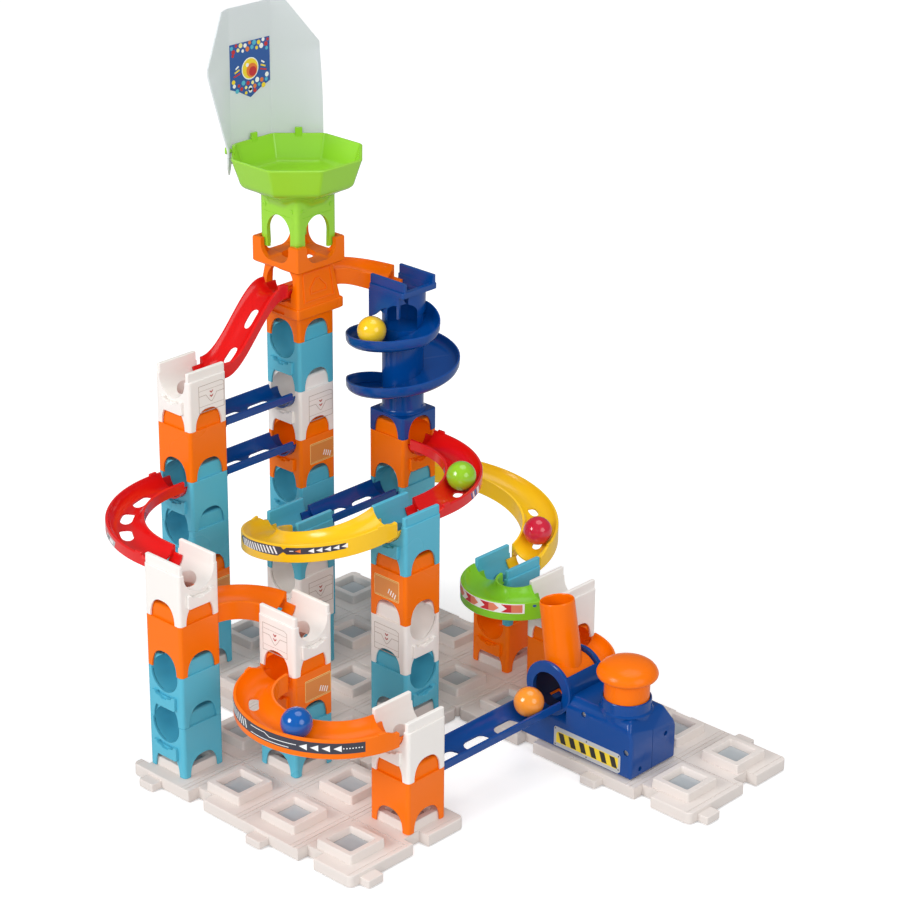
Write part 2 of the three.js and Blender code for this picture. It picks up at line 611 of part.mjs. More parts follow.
function launcherBody() {
  const P = FOOT_Z;
  const rear = cellY(4.5);
  const right = cellX(4.44);
  const tallOutline = [
    [FRONT_Y, P], [rear, P], [rear, P + 25],
    [rear - 8, P + 40.5], [FRONT_Y + 4, P + 40.5], [FRONT_Y, P + 36],
  ];
  const lowOutline = [
    [FRONT_Y, P], [rear, P], [rear, P + 22],
    [rear - 4, P + 26], [FRONT_Y + 4, P + 26], [FRONT_Y, P + 22],
  ];
  const slope = [[right + 1, P + 26], [right + 1, P + 60], [right - 8, P + 60], [right - 5, P + 41]];
  const bossRoom = well(31.2, 0, PLATE_T + BOSS_H + 0.6);
  return prismX(tallOutline, cellX(3.3), right)
    .subtract(prismY(slope, FRONT_Y - 1, rear + 1))
    .add(prismX(lowOutline, cellX(2.52), cellX(3.4)))
    .subtract(bossRoom.translate([cellX(3), cellY(4), 0]))
    .subtract(bossRoom.translate([cellX(4), cellY(4), 0]))
    // housing of the tube's drum, with a ring at each end
    .add(drumCylinder(18, FRONT_Y, REAR_Y, 24))
    .add(drumCylinder(18.9, FRONT_Y, FRONT_Y + RING_T, 24))
    .add(drumCylinder(18.9, REAR_Y - RING_T, REAR_Y, 24))
    .add(cylinder("z", 16.4, P + 30, P + 49, BUTTON, 20)) // collar round the button
    .subtract(drumCylinder(16.6, FRONT_Y + RING_T, REAR_Y - RING_T))
    .subtract(box([TUBE_X - 20, FRONT_Y + RING_T, TUBE_Z],
      [TUBE_X + 13.6, REAR_Y - RING_T, TUBE_Z + 30]))
    // seat of the feed track
    .subtract(box([TUBE_X - 16, REAR_Y, mouthZ(0) - 9.3], [TUBE_X + 13.9, 200, 80]))
    .subtract(drumCylinder(12.6, FRONT_Y - 1, FRONT_Y + 4, 16, TUBE_Z - 1))
    .subtract(drumCylinder(12.6, REAR_Y - 4, REAR_Y + 1, 16))
    .subtract(cylinder("z", 15.2, P + 24, P + 60, BUTTON, 20)) // button bore
    // room for the rocker and the spring
    .subtract(box([TUBE_X - 5, BUTTON_Y - 6.5, P + 8.4], [BUTTON_X + 15, BUTTON_Y + 6.5, P + 25]))
    .subtract(box([TUBE_X - 6, BUTTON_Y - 6.5, P + 8.4],
      [TUBE_X + 8, BUTTON_Y + 6.5, TUBE_Z - 10]));
}

// A mushroom cap on a hollow stem, with a peg
function launcherButton() {
  // [radius, z above the launcher's underside]
  const CAP = [
    [0, 62.8], [18.4, 62.8], [20, 65.4], [19.3, 68.4], [15.5, 71.6], [8, 73.8], [0, 74.4],
  ];
  const cap = toSolid(new THREE.LatheGeometry(vectors(CAP), 20).rotateX(Math.PI / 2));
  return cylinder("z", 14.8, FOOT_Z + 34, FOOT_Z + 65, BUTTON, 20)
    .add(cap.translate([BUTTON_X, BUTTON_Y, FOOT_Z]))
    .subtract(cylinder("z", 12.6, FOOT_Z + 30, FOOT_Z + 54, BUTTON))
    .add(cylinder("z", 3, FOOT_Z + 25.6, FOOT_Z + 56, [PEG_X, BUTTON_Y], 8));
}

// The button's peg pushes one end down, and the other end lifts the marble
function launcherRocker() {
  const P = FOOT_Z;
  const pivotX = (TUBE_X + PEG_X) / 2 + 2;
  const arm = [
    [TUBE_X + 2, P + 12.2], [pivotX, P + 16.5], [BUTTON_X - 5, P + 21.4],
    [BUTTON_X - 5, P + 24.6], [pivotX, P + 21.5], [TUBE_X + 2, P + 16.2],
  ];
  return box([TUBE_X - 4, BUTTON_Y - 4, P + 12.2], [TUBE_X + 4, BUTTON_Y + 4, P + 15.4])
    .add(box([TUBE_X - 2, BUTTON_Y - 3, P + 13], [TUBE_X + 4, BUTTON_Y + 3, P + 16.8]))
    .add(prismY(arm, BUTTON_Y - 4, BUTTON_Y + 4))
    .add(cylinder("y", 2.4, BUTTON_Y - 5.6, BUTTON_Y + 5.6, [pivotX, P + 18.5], 12));
}

// The return spring under the button
const SPRING = { turns: 4, radius: 3.6, wire: 0.55, z0: FOOT_Z + 9.6, z1: FOOT_Z + 52.6 };
class Coil extends THREE.Curve {
  getPoint(t, target = new THREE.Vector3()) {
    const { turns, radius, z0, z1 } = SPRING;
    const angle = t * turns * 2 * Math.PI;
    return target.set(
      BUTTON_X + 6.5 + radius * Math.cos(angle),
      BUTTON_Y + radius * Math.sin(angle),
      z0 + (z1 - z0) * t);
  }
}
function launcherSpring() {
  const wire = points(5, (i) => {
    const angle = i * Math.PI / 2.5;
    return [SPRING.wire * Math.cos(angle), SPRING.wire * Math.sin(angle)];
  });
  const options = { extrudePath: new Coil(), steps: 36, bevelEnabled: false };
  return toSolid(new THREE.ExtrudeGeometry(shape(wire), options));
}

// The launch tube on its drum
function launcherTube() {
  const LEAN = -9.7; // degrees about Y
  const lean = (solid) =>
    solid.rotate([0, LEAN, 0]).translate([TUBE_X, (FRONT_Y + REAR_Y) / 2, TUBE_Z]);
  return lean(cylinder("z", 12.2, 8, 56, [0, 0], 20, 11.6))
    .add(drumCylinder(16.2, FRONT_Y + RING_T + 0.5, REAR_Y - RING_T - 0.5))
    .subtract(drumCylinder(14.8, FRONT_Y, REAR_Y))
    .subtract(lean(cylinder("z", 10.7, -2, 70, [0, 0], 20, 10.4)))
    .subtract(box([TUBE_X - 9, BUTTON_Y - 5, TUBE_Z - 20], [TUBE_X + 9, BUTTON_Y + 5, TUBE_Z - 8]));
}
put("launcher_body", launcherBody(), BLUE);
put("launcher_button", launcherButton(), ORANGE);
put("launcher_rocker", launcherRocker(), WHITE);
put("launcher_spring", launcherSpring(), STEEL, { metalness: 0.9 });
put("launcher_tube", launcherTube(), ORANGE);

// ---- spiral: foot, column, ramp and the catching channel on top ----
const COLUMN_R = 14.5;
const RAMP_R = 39.5;
const RAMP_Z = 212.5; // floor height at RAMP_AT
const RAMP_AT = -98; // angles in degrees
const RAMP_DROP = 34; // per turn
const RAMP_START = 60; // top end
const RAMP_END = -610; // foot end
const DROP_AT = -4; // the drop hole ends at the floor height of this angle
const rampFloor = (degrees) => RAMP_Z + ((degrees - RAMP_AT) / 360) * RAMP_DROP;
// the ramp grows out of the column at its top and runs back into it at its foot
function rampRadius(degrees) {
  const grown = Math.min(1, (RAMP_START - degrees) / 80, (degrees - RAMP_END) / 105);
  const least = COLUMN_R + 1.6;
  return least + (RAMP_R - least) * Math.max(0, grown);
}

function spiralRamp() {
  const inner = COLUMN_R - 1.5;
  const lip = RAMP_R - 4.1; // everything outside this follows the ramp's radius
  const profile = [
    [inner, -2.4], [RAMP_R - 2.6, -2.4], [RAMP_R, 0], [RAMP_R, 7],
    [RAMP_R - 1.8, 7], [RAMP_R - 1.8, 2], [RAMP_R - 4, 0], [inner, 0],
  ];
  const sweepDeg = RAMP_START - RAMP_END;
  return bend(extrude(profile, sweepDeg, Math.round(sweepDeg / 14)), (x, y, z) => {
    const degrees = RAMP_END + z;
    const angle = degToRad(degrees);
    const outer = Math.max(inner + (x - lip) * 0.2, rampRadius(degrees) + x - RAMP_R);
    const radius = x > lip ? outer : x;
    return [radius * Math.cos(angle), radius * Math.sin(angle), y + rampFloor(degrees)];
  });
}

// The tray on top, with a skirt at its front
function spiralTray() {
  const h = BLOCK / 2;
  const skirt = [
    [-h, 248], [-h, 227.5], [-12, 229.5], [-2.5, 236.6],
    [2, 238], [2, 232], [12, 232], [12, 248],
  ];
  return slab(BLOCK, 247.6, 251.6, CHAMFER)
    .add(box([-h, -CHANNEL_W / 2, 251], [h, CHANNEL_W / 2, 258]))
    .add(box([-h + 0.3, -14.6, 233], [0, 14.6, 248]))
    .add(cylinder("z", 15.8, 230, 248, [0, 0], 20))
    .add(prismY(skirt, -h + 0.3, -h + 2.7))
    .subtract(prismX(trough(CHANNEL_R, 250, 8, 280), -20, 13.2))
    .subtract(box([10, -CHANNEL_R, 251.7], [20, CHANNEL_R, 262]));
}

function spiralTower() {
  const foot = LEVEL * 4;
  const floor = rampFloor(DROP_AT);
  return slab(BLOCK, foot, 160, CHAMFER)
    .subtract(well(CAVITY, foot - 4, 154))
    .subtract(arches.translate([0, 0, foot]))
    .add(cylinder("z", COLUMN_R, 158, 236, [0, 0], 20))
    .add(spiralRamp())
    .add(spiralTray())
    // drop hole and the pocket under it
    .subtract(cylinder("z", 11, floor, 252.6))
    .subtract(turnZ(box([0, -10.4, floor], [18, 10.4, floor + 20.6]), -48));
}
put("spiral_tower", spiralTower(), BLUE, { at: [cellX(-1), cellY(5), PLATE_T] });

// ---- marbles ----
const REST = -0.7; // marble centre above the groove's centre
function marble(name, colour, at) {
  const sphere = new THREE.SphereGeometry(BALL_R, 12, 8).rotateX(Math.PI / 2);
  put(name, toSolid(sphere), colour, { at, roughness: 0.15 });
}
// A place on an oval round a cell position, at an angle in degrees
const around = (column, row, radiusX, radiusY, degrees, z) => [
  cellX(column) + radiusX * Math.cos(degToRad(degrees)),
  cellY(row) + radiusY * Math.sin(degToRad(degrees)),
  z,
];
const greenR = LONG_R + STRAIGHT * 0.39;
const redDrop = YELLOW_RIGHT.z[0] + YELLOW_RIGHT.lift[0] - YELLOW_RIGHT.z[1] - YELLOW_RIGHT.lift[1];
const redZ = mouthZ(2) + YELLOW_RIGHT.lift[0] - redDrop * (156 / 180) + REST + 0.3;
marble("marble_blue", 0x0a5abe,
  around(2, 1 - FACE, PITCH, U_DEPTH, -72, mouthZ(1) + 8.4 + REST));
marble("marble_green", 0x96c832,
  around(-1 + FACE, 5 - LONG_R / PITCH, greenR, greenR, 32.5, mouthZ(3) + 5.8 + REST));
marble("marble_red", 0xd71e3c, around(0, 5 + FACE, PITCH, U_DEPTH, 24, redZ));
marble("marble_yellow", 0xfacd32,
  around(-1, 5, 26.8, 26.8, RAMP_AT, PLATE_T + RAMP_Z + BALL_R + 0.4));
marble("marble_orange", 0xfa9632, [cellX(3), cellY(3.24), mouthZ(0) + RAIL_LIFT + REST]);

export default run;
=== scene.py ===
# Marble run: ten towers of blocks on four base plates, joined by tracks, with a funnel on a
# castle block, a backboard, a spiral tower and a launcher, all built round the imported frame.
# Z is up and -Y is the front. Towers stand on a square grid of cells (column along X, row
# along Y). Lengths are millimetres, apart from the camera, the lights and the floor (metres).
import json
import math
from contextlib import contextmanager
from math import asin, atan2, copysign, cos, degrees, hypot, pi, radians, sin, tan

import bmesh
import bpy
from mathutils import Matrix, Vector


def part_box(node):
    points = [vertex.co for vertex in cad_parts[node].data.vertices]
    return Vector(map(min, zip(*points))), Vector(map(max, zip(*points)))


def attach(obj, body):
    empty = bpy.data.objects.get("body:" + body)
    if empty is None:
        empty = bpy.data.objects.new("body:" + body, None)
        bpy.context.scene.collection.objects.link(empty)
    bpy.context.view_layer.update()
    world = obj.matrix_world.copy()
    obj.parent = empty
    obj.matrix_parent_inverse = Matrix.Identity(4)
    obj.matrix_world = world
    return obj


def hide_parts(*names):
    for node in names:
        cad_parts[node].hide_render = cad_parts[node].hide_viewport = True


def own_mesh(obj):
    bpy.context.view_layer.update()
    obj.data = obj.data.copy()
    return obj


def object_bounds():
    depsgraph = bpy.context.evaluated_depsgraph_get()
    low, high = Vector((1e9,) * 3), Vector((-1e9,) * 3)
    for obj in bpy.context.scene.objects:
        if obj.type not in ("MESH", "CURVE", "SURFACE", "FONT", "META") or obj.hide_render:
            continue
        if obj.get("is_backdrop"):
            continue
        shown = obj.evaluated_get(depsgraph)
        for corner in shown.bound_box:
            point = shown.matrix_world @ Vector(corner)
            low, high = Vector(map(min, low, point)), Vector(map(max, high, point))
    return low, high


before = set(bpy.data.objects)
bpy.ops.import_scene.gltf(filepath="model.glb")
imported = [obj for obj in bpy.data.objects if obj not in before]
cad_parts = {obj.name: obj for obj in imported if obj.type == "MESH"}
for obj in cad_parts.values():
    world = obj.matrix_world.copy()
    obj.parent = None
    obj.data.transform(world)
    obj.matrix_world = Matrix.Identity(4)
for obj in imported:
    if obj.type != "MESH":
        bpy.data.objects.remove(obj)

scene = bpy.context.scene
CAD_BOX = [[float(c) for c in corner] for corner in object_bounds()]

MILLI = 0.001                # metres in a millimetre
PITCH = 50.0                 # one grid cell
PLATE = 8.0                  # base plate thickness
LEVEL = 36.0                 # stacking height of a block
BLOCK = 33.4                 # block width
HALF = BLOCK / 2
HALF_CELL = HALF / PITCH     # half a block, in cells
GROOVE_UP = 34.0             # groove axis over the foot of a channel block
CASTLE_UP = 40.0             # groove axis over the foot of the castle block
U_DEPTH = 47.0               # reach of the big U-shaped tracks
STRAIGHT = 10.0              # straight ends of the quarter turns
RAIL_UP = 4.5                # rail groove axis over the block's groove axis
REST = -0.7                  # centre of a resting marble over the groove axis
BIG_TURN = (2 - HALF_CELL) * PITCH
SMALL_TURN = (1 - HALF_CELL) * PITCH


def at_x(column):
    return (column - 0.5) * PITCH


def at_y(row):
    return (row - 2.5) * PITCH


def foot_z(level):
    return PLATE + LEVEL * level


def groove_z(level):
    return foot_z(level) + GROOVE_UP


# ------------------------------------------------------------------ materials
FACTOR, FIRST, SECOND, MIXED = 0, 6, 7, 2    # sockets of a colour Mix node
TO_MIN, TO_MAX = 3, 4                        # sockets of a Map Range node


def linear(rgb):
    """Linear RGBA from 0-255 sRGB."""
    scaled = [v / 255.0 for v in rgb]
    return tuple(v / 12.92 if v <= 0.04045 else ((v + 0.055) / 1.055) ** 2.4
                 for v in scaled) + (1.0,)


def fill(tree, node, inputs):
    """Sets inputs: each takes a plain value or another node's output."""
    for key, value in inputs.items():
        if isinstance(value, bpy.types.NodeSocket):
            tree.links.new(value, node.inputs[key])
        else:
            node.inputs[key].default_value = value


def add(tree, kind, inputs={}, **settings):
    node = tree.nodes.new("ShaderNode" + kind)
    for key, value in settings.items():
        setattr(node, key, value)
    fill(tree, node, inputs)
    return node


def mix_colour(tree, factor, first, second):
    inputs = {FACTOR: factor, FIRST: first, SECOND: second}
    return add(tree, "Mix", inputs, data_type="RGBA").outputs[MIXED]


def plastic(name, rgb, rough=0.26, coat=0.25, drift=0.05, wave=0.10, grain=0.05, specular=0.42):
    """Moulded plastic: colour drift, uneven gloss, slow waves, fine grain and paler edges."""
    material = bpy.data.materials.new(name)
    material.use_nodes = True
    tree = material.node_tree
    tree.nodes.clear()
    base = linear(rgb)
    coords = add(tree, "TexCoord").outputs["Object"]

    def noise(scale, detail):
        inputs = {"Scale": scale, "Detail": detail, "Vector": coords}
        return add(tree, "TexNoise", inputs).outputs["Fac"]

    def tint(gain, offset=0.0):
        return tuple(min(1, c * gain + offset) for c in base[:3]) + (1,)

    patches = noise(scale=9.0, detail=3.0)
    edges = add(tree, "ValToRGB", {0: add(tree, "NewGeometry").outputs["Pointiness"]})
    for stop, position, grey in zip(edges.color_ramp.elements, (0.52, 0.62), (0, 0.35)):
        stop.position = position
        stop.color = (grey, grey, grey, 1)
    varied = mix_colour(tree, patches, tint(1 - drift * 1.4), tint(1 + drift))
    worn = mix_colour(tree, edges.outputs[0], varied, tint(0.95, offset=0.035))
    gloss = add(tree, "MapRange", {0: patches, TO_MIN: rough * 0.82, TO_MAX: rough * 1.25})
    waves = add(tree, "Bump", {
        "Strength": wave, "Distance": 0.0015, "Height": noise(scale=38.0, detail=1.0)})
    texture = add(tree, "Bump", {
        "Strength": grain, "Distance": 0.0002, "Height": noise(scale=900.0, detail=2.0),
        "Normal": waves.outputs[0]})
    shader = add(tree, "BsdfPrincipled", {
        "Base Color": worn, "Roughness": gloss.outputs[0], "Normal": texture.outputs[0],
        "Specular IOR Level": specular, "Coat Weight": coat, "Coat Roughness": 0.12})
    add(tree, "OutputMaterial", {0: shader.outputs[0]})
    return material


def principled(material):
    return material.node_tree.nodes["Principled BSDF"]


def frosted(name, rgb):
    """Plastic that lets part of the light through."""
    material = plastic(name, rgb, rough=0.45, coat=0.1, drift=0.02, wave=0.04)
    tree = material.node_tree
    glow = add(tree, "BsdfTranslucent", {"Color": linear((244, 247, 248))})
    through = 0.42
    mix = add(tree, "MixShader", {
        0: through, 1: principled(material).outputs[0], 2: glow.outputs[0]})
    fill(tree, tree.nodes["Material Output"], {0: mix.outputs[0]})
    return material


TURQUOISE = plastic("turquoise_plastic_look", (88, 184, 210), specular=0.3, coat=0.15)
ORANGE = plastic("orange_plastic_look", (243, 114, 0), specular=0.2, coat=0.10)
# painted glow: a weak red emission stands in for the warm light that passes through thin orange
# plastic in the shade
fill(ORANGE.node_tree, principled(ORANGE), {
    "Emission Color": (1.0, 0.13, 0.0, 1), "Emission Strength": 0.05})
WHITE = plastic("warm_white_plastic_look", (245, 240, 235), rough=0.34, coat=0.12, drift=0.02)
BASE_WHITE = plastic("base_white_plastic_look", (230, 221, 215), rough=0.4, coat=0.05,
                     drift=0.03, grain=0.12)
BLUE = plastic("blue_plastic_look", (0, 68, 144), rough=0.2, coat=0.35, specular=0.3)
RED = plastic("red_plastic_look", (226, 18, 18), rough=0.2, coat=0.3, specular=0.35)
YELLOW = plastic("yellow_plastic_look", (252, 200, 22), rough=0.24)
GREEN = plastic("green_plastic_look", (132, 206, 40), specular=0.35)
LIME = plastic("lime_plastic_look", (156, 218, 52), rough=0.24, specular=0.4, coat=0.4)
# painted shadow: near-black navy for a sleeve inside the launch tube's drum, standing in for the
# shade in its bore
BORE_SHADOW = plastic("bore_painted_shadow_look", (3, 22, 62), rough=0.4, coat=0.1, specular=0.25)
FROST = frosted("frosted_board_look", (238, 242, 243))
GREY = plastic("grey_insert_look", (178, 184, 188), rough=0.18, coat=0.3, drift=0.10)
# a spare, on no piece
RECESS_DARK = plastic("recess_dark_look", (18, 20, 34), rough=0.5, coat=0.0)
STEEL = plastic("spring_steel_look", (190, 192, 195), rough=0.3, coat=0.0)
principled(STEEL).inputs["Metallic"].default_value = 1.0

INKS = {name: plastic("ink_" + name, rgb, rough=0.35, coat=0.15, wave=0.02, grain=0.06,
                      drift=0.03) for name, rgb in (
    ("charcoal", (52, 52, 66)), ("white", (246, 246, 246)), ("yellow", (247, 214, 40)),
    ("red", (200, 36, 40)), ("orange", (236, 120, 40)), ("blue", (28, 84, 160)),
    ("cyan", (80, 180, 210)), ("grey", (190, 192, 194)), ("tan", (222, 138, 62)),
    ("salmon", (226, 130, 96)), ("black", (30, 28, 24)), ("panel_line", (186, 172, 162)),
    ("chevron", (178, 52, 44)), ("cream", (250, 236, 150)))}


# ------------------------------------------------------------------ outlines
def circle(radius, n):
    angles = [2 * pi * (i + 0.5) / n for i in range(n)]
    return [(radius * cos(angle), radius * sin(angle)) for angle in angles]


def curve(radius, start, sweep, steps, centre=(0, 0), rise=None):
    """Points on an arc, both ends included; rise is the second radius of an ellipse."""
    rise = radius if rise is None else rise
    angles = [start + sweep * i / steps for i in range(steps + 1)]
    return [(centre[0] + radius * cos(angle), centre[1] + rise * sin(angle))
            for angle in angles]


def trough(radius, z, top):
    """A half circle open upwards, with straight sides."""
    return [(radius, top)] + curve(radius, 0, -pi, 28, (0, z)) + [(-radius, top)]


def rounded(width, corner, depth=None, n=4):
    """A rectangle with rounded corners."""
    depth = width if depth is None else depth
    corner = max(corner, 0.05)
    x, y = width / 2 - corner, depth / 2 - corner
    points = []
    for centre_x, centre_y, start in ((x, y, 0), (-x, y, 90), (-x, -y, 180), (x, -y, 270)):
        for i in range(n + 1):
            angle = radians(start + 90 * i / n)
            points.append((centre_x + corner * cos(angle), centre_y + corner * sin(angle)))
    return points


def disc(x, y, radius, n=20):
    return [(x + radius * cos(2 * pi * i / n), y + radius * sin(2 * pi * i / n))
            for i in range(n)]


def stroke(start, end, width):
    """A straight line of the given width, a little longer at both ends."""
    (x0, y0), (x1, y1) = start, end
    run, rise = x1 - x0, y1 - y0
    length = hypot(run, rise)
    side_x, side_y = -rise / length * width / 2, run / length * width / 2
    more_x, more_y = run / length * width * 0.3, rise / length * width * 0.3
    return [(x0 - more_x + side_x, y0 - more_y + side_y),
            (x0 - more_x - side_x, y0 - more_y - side_y),
            (x1 + more_x - side_x, y1 + more_y - side_y),
            (x1 + more_x + side_x, y1 + more_y + side_y)]


def smooth01(t):
    return t * t * (3 - 2 * t)


def clamp01(t):
    return min(1.0, max(0.0, t))


# ------------------------------------------------------------------ solids
@contextmanager
def editing(mesh):
    edit = bmesh.new()
    edit.from_mesh(mesh)
    yield edit
    edit.to_mesh(mesh)
    edit.free()


def shade(mesh, sharp):
    mesh.shade_smooth()
    mesh.set_sharp_from_angle(angle=radians(sharp))


def link(name, mesh):
    ob = bpy.data.objects.new(name, mesh)
    scene.collection.objects.link(ob)
    return ob


def mesh_of(name, verts, faces):
    mesh = bpy.data.meshes.new(name)
    mesh.from_pydata([(x * MILLI, y * MILLI, z * MILLI) for x, y, z in verts], [], faces)
    return mesh


def solid(verts, faces):
    mesh = mesh_of("part", verts, faces)
    with editing(mesh) as edit:
        bmesh.ops.remove_doubles(edit, verts=edit.verts, dist=2e-7)
        bmesh.ops.recalc_face_normals(edit, faces=edit.faces)
    return link("part", mesh)


def loft(rings, loop=False):
    """Skin over rings of equal count; capped, or closed on itself with loop."""
    n, count = len(rings[0]), len(rings)
    faces = []
    for i in range(count if loop else count - 1):
        k = (i + 1) % count
        for j in range(n):
            q = (j + 1) % n
            faces.append((i * n + j, i * n + q, k * n + q, k * n + j))
    if not loop:
        faces.append(tuple(range(n)))
        faces.append(tuple((count - 1) * n + j for j in range(n)))
    return solid([point for ring in rings for point in ring], faces)


def on_axis(axis, u, v, along):
    if axis == "x":
        return (along, u, v)
    return (u, along, v) if axis == "y" else (u, v, along)


def prism(axis, outline, low, high):
    return loft([[on_axis(axis, u, v, along) for u, v in outline] for along in (low, high)])


def turned(axis, stations, centre=(0, 0), n=64, loop=False):
    """Circles lofted along an axis; stations are (place along it, radius)."""
    return loft([[on_axis(axis, centre[0] + u, centre[1] + v, along)
                  for u, v in circle(radius, n)] for along, radius in stations], loop)


def rod(axis, radius, low, high, centre=(0, 0), n=48):
    return turned(axis, ((low, radius), (high, radius)), centre, n)


def box(low, high):
    (x0, y0, z0), (x1, y1, z1) = low, high
    return loft([[(x0, y0, z), (x1, y0, z), (x1, y1, z), (x0, y1, z)] for z in (z0, z1)])


def stack(stations, n=4, at=(0, 0)):
    """Rounded squares lofted upwards; stations are (z, width, corner radius)."""
    return loft([[(x + at[0], y + at[1], z) for x, y in rounded(width, corner, n=n)]
                 for z, width, corner in stations])


def slab(width, corner, z0, z1, top=0.0, foot=0.0, depth=None, at=(0, 0), n=4, taper=0.0):
    """An upright rounded block; top and foot are the radii of its softened rims."""
    depth = width if depth is None else depth

    def ring(inset, z):
        lean = taper * (z - z0) / max(z1 - z0, 1e-6)
        outline = rounded(width - 2 * inset - 2 * lean, corner - inset,
                          depth - 2 * inset - 2 * lean, n)
        return [(x + at[0], y + at[1], z) for x, y in outline]

    rings = []
    if foot:
        rings += [ring(foot * (1 - sin(angle)), z0 + foot * (1 - cos(angle)))
                  for angle in (0, radians(45))]
    rings += [ring(0, z0 + foot), ring(0, z1 - top)]
    if top:
        rings += [ring(top * (1 - cos(angle)), z1 - top + top * sin(angle))
                  for angle in (radians(30), radians(60), radians(90))]
    return loft(rings)


def lathe(profile, n):
    """A profile of (radius, z) turned about Z; it starts and ends on the axis."""
    verts, faces, rows = [], [], []
    for radius, z in profile:
        if radius < 1e-6:
            verts.append((0, 0, z))
            rows.append([len(verts) - 1] * n)
        else:
            rows.append(list(range(len(verts), len(verts) + n)))
            angles = [2 * pi * i / n for i in range(n)]
            verts += [(radius * cos(angle), radius * sin(angle), z) for angle in angles]
    for lower, upper in zip(rows, rows[1:]):
        for i in range(n):
            j = (i + 1) % n
            corners = tuple(dict.fromkeys((lower[i], lower[j], upper[j], upper[i])))
            if len(corners) > 2:
                faces.append(corners)
    return solid(verts, faces)


# ------------------------------------------------------------------ working on solids
def drop(ob):
    mesh = ob.data
    bpy.data.objects.remove(ob, do_unlink=True)
    if mesh.users == 0:
        bpy.data.meshes.remove(mesh)


def modified(ob):
    """The mesh with its modifiers applied; the modifiers are then removed."""
    graph = bpy.context.evaluated_depsgraph_get()
    mesh = bpy.data.meshes.new_from_object(ob.evaluated_get(graph), depsgraph=graph)
    ob.modifiers.clear()
    return mesh


def swap_mesh(ob, mesh):
    old = ob.data
    ob.data = mesh
    if old.users == 0:
        bpy.data.meshes.remove(old)


def boolean(body, tool, operation):
    before = len(body.data.polygons)
    for solver in ("MANIFOLD", "EXACT"):
        modifier = body.modifiers.new("b", "BOOLEAN")
        modifier.operation = operation
        modifier.object = tool
        try:
            modifier.solver = solver
        except TypeError:    # a Blender without this solver
            body.modifiers.clear()
            continue
        mesh = modified(body)
        count = len(mesh.polygons)
        unchanged = solver == "MANIFOLD" and count == before and operation == "UNION"
        if count > 3 and not unchanged:
            swap_mesh(body, mesh)
            break
        bpy.data.meshes.remove(mesh)
    drop(tool)


def cut(body, tool):
    boolean(body, tool, "DIFFERENCE")


def join(body, tool):
    boolean(body, tool, "UNION")


def group(parts):
    """Closed pieces put in the first one's mesh without being cut together."""
    first, *rest = parts
    for part in rest:
        with editing(first.data) as edit:
            edit.from_mesh(part.data)
        drop(part)
    return first


def turn(ob, angle):
    ob.data.transform(Matrix.Rotation(radians(angle), 4, "Z"))
    return ob


def shift(ob, x, y, z):
    ob.data.transform(Matrix.Translation((x * MILLI, y * MILLI, z * MILLI)))
    return ob


def clean(ob, bevel=0, segments=2, angle=38, smooth=32):
    """Welds and shades; with a bevel, flat faces are merged and the edges rounded too."""
    with editing(ob.data) as edit:
        bmesh.ops.remove_doubles(edit, verts=edit.verts, dist=3e-6)
        bmesh.ops.dissolve_degenerate(edit, edges=edit.edges, dist=2e-6)
        if bevel:
            bmesh.ops.dissolve_limit(edit, angle_limit=radians(0.6), verts=edit.verts,
                                     edges=edit.edges)
    if bevel:
        modifier = ob.modifiers.new("v", "BEVEL")
        modifier.width = bevel * MILLI
        modifier.segments = segments
        modifier.limit_method = "ANGLE"
        modifier.angle_limit = radians(angle)
        modifier.use_clamp_overlap = True
        modifier.miter_outer = "MITER_ARC"
        modifier.loop_slide = True
        swap_mesh(ob, modified(ob))
    shade(ob.data, smooth)
    return ob


def dress(ob, name, material, node=None, body="run", weighted=True):
    """Names and colours a piece, and tells the frame what it rides on and replaces."""
    ob.name = name
    ob.data.name = name
    ob.data.materials.clear()
    ob.data.materials.append(material)
    for face in ob.data.polygons:
        face.material_index = 0
    if weighted:
        modifier = ob.modifiers.new("n", "WEIGHTED_NORMAL")
        modifier.keep_sharp = True
        modifier.weight = 60
    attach(ob, body)
    if node:
        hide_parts(node)
    return ob


# ------------------------------------------------------------------ printed labels
def decal(name, shapes, place, step=None, lift=0.10):
    """Thin printed shapes (outline, ink, layer) that follow a surface.

    place(u, v, out) gives the point at (u, v) on the surface, raised by out. step splits
    the shapes along u so that they bend.
    """
    verts, faces, inks, ink_of_face = [], [], [], []
    for outline, ink, layer in shapes:
        if ink not in inks:
            inks.append(ink)
        edit = bmesh.new()
        edit.faces.new([edit.verts.new((u, v, 0)) for u, v in outline])
        if step:
            low, high = min(u for u, v in outline), max(u for u, v in outline)
            split = math.floor(low / step) * step + step
            while split < high - 1e-4:
                parts = edit.verts[:] + edit.edges[:] + edit.faces[:]
                bmesh.ops.bisect_plane(edit, geom=parts, plane_co=(split, 0, 0),
                                       plane_no=(1, 0, 0))
                split += step
        grown = bmesh.ops.extrude_face_region(edit, geom=edit.faces[:])["geom"]
        top = {part for part in grown if isinstance(part, bmesh.types.BMVert)}
        bmesh.ops.recalc_face_normals(edit, faces=edit.faces)
        edit.verts.ensure_lookup_table()
        base = len(verts)
        for vert in edit.verts:
            out = (lift + 0.03 * layer) if vert in top else -0.25
            verts.append(place(vert.co.x, vert.co.y, out))
        for face in edit.faces:
            faces.append(tuple(base + vert.index for vert in face.verts))
            ink_of_face.append(inks.index(ink))
        edit.free()
    mesh = mesh_of(name, verts, faces)
    for ink in inks:
        mesh.materials.append(INKS[ink])
    for face, index in zip(mesh.polygons, ink_of_face):
        face.material_index = index
    with editing(mesh) as edit:
        bmesh.ops.recalc_face_normals(edit, faces=edit.faces)
    shade(mesh, 30)
    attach(link(name, mesh), "run")


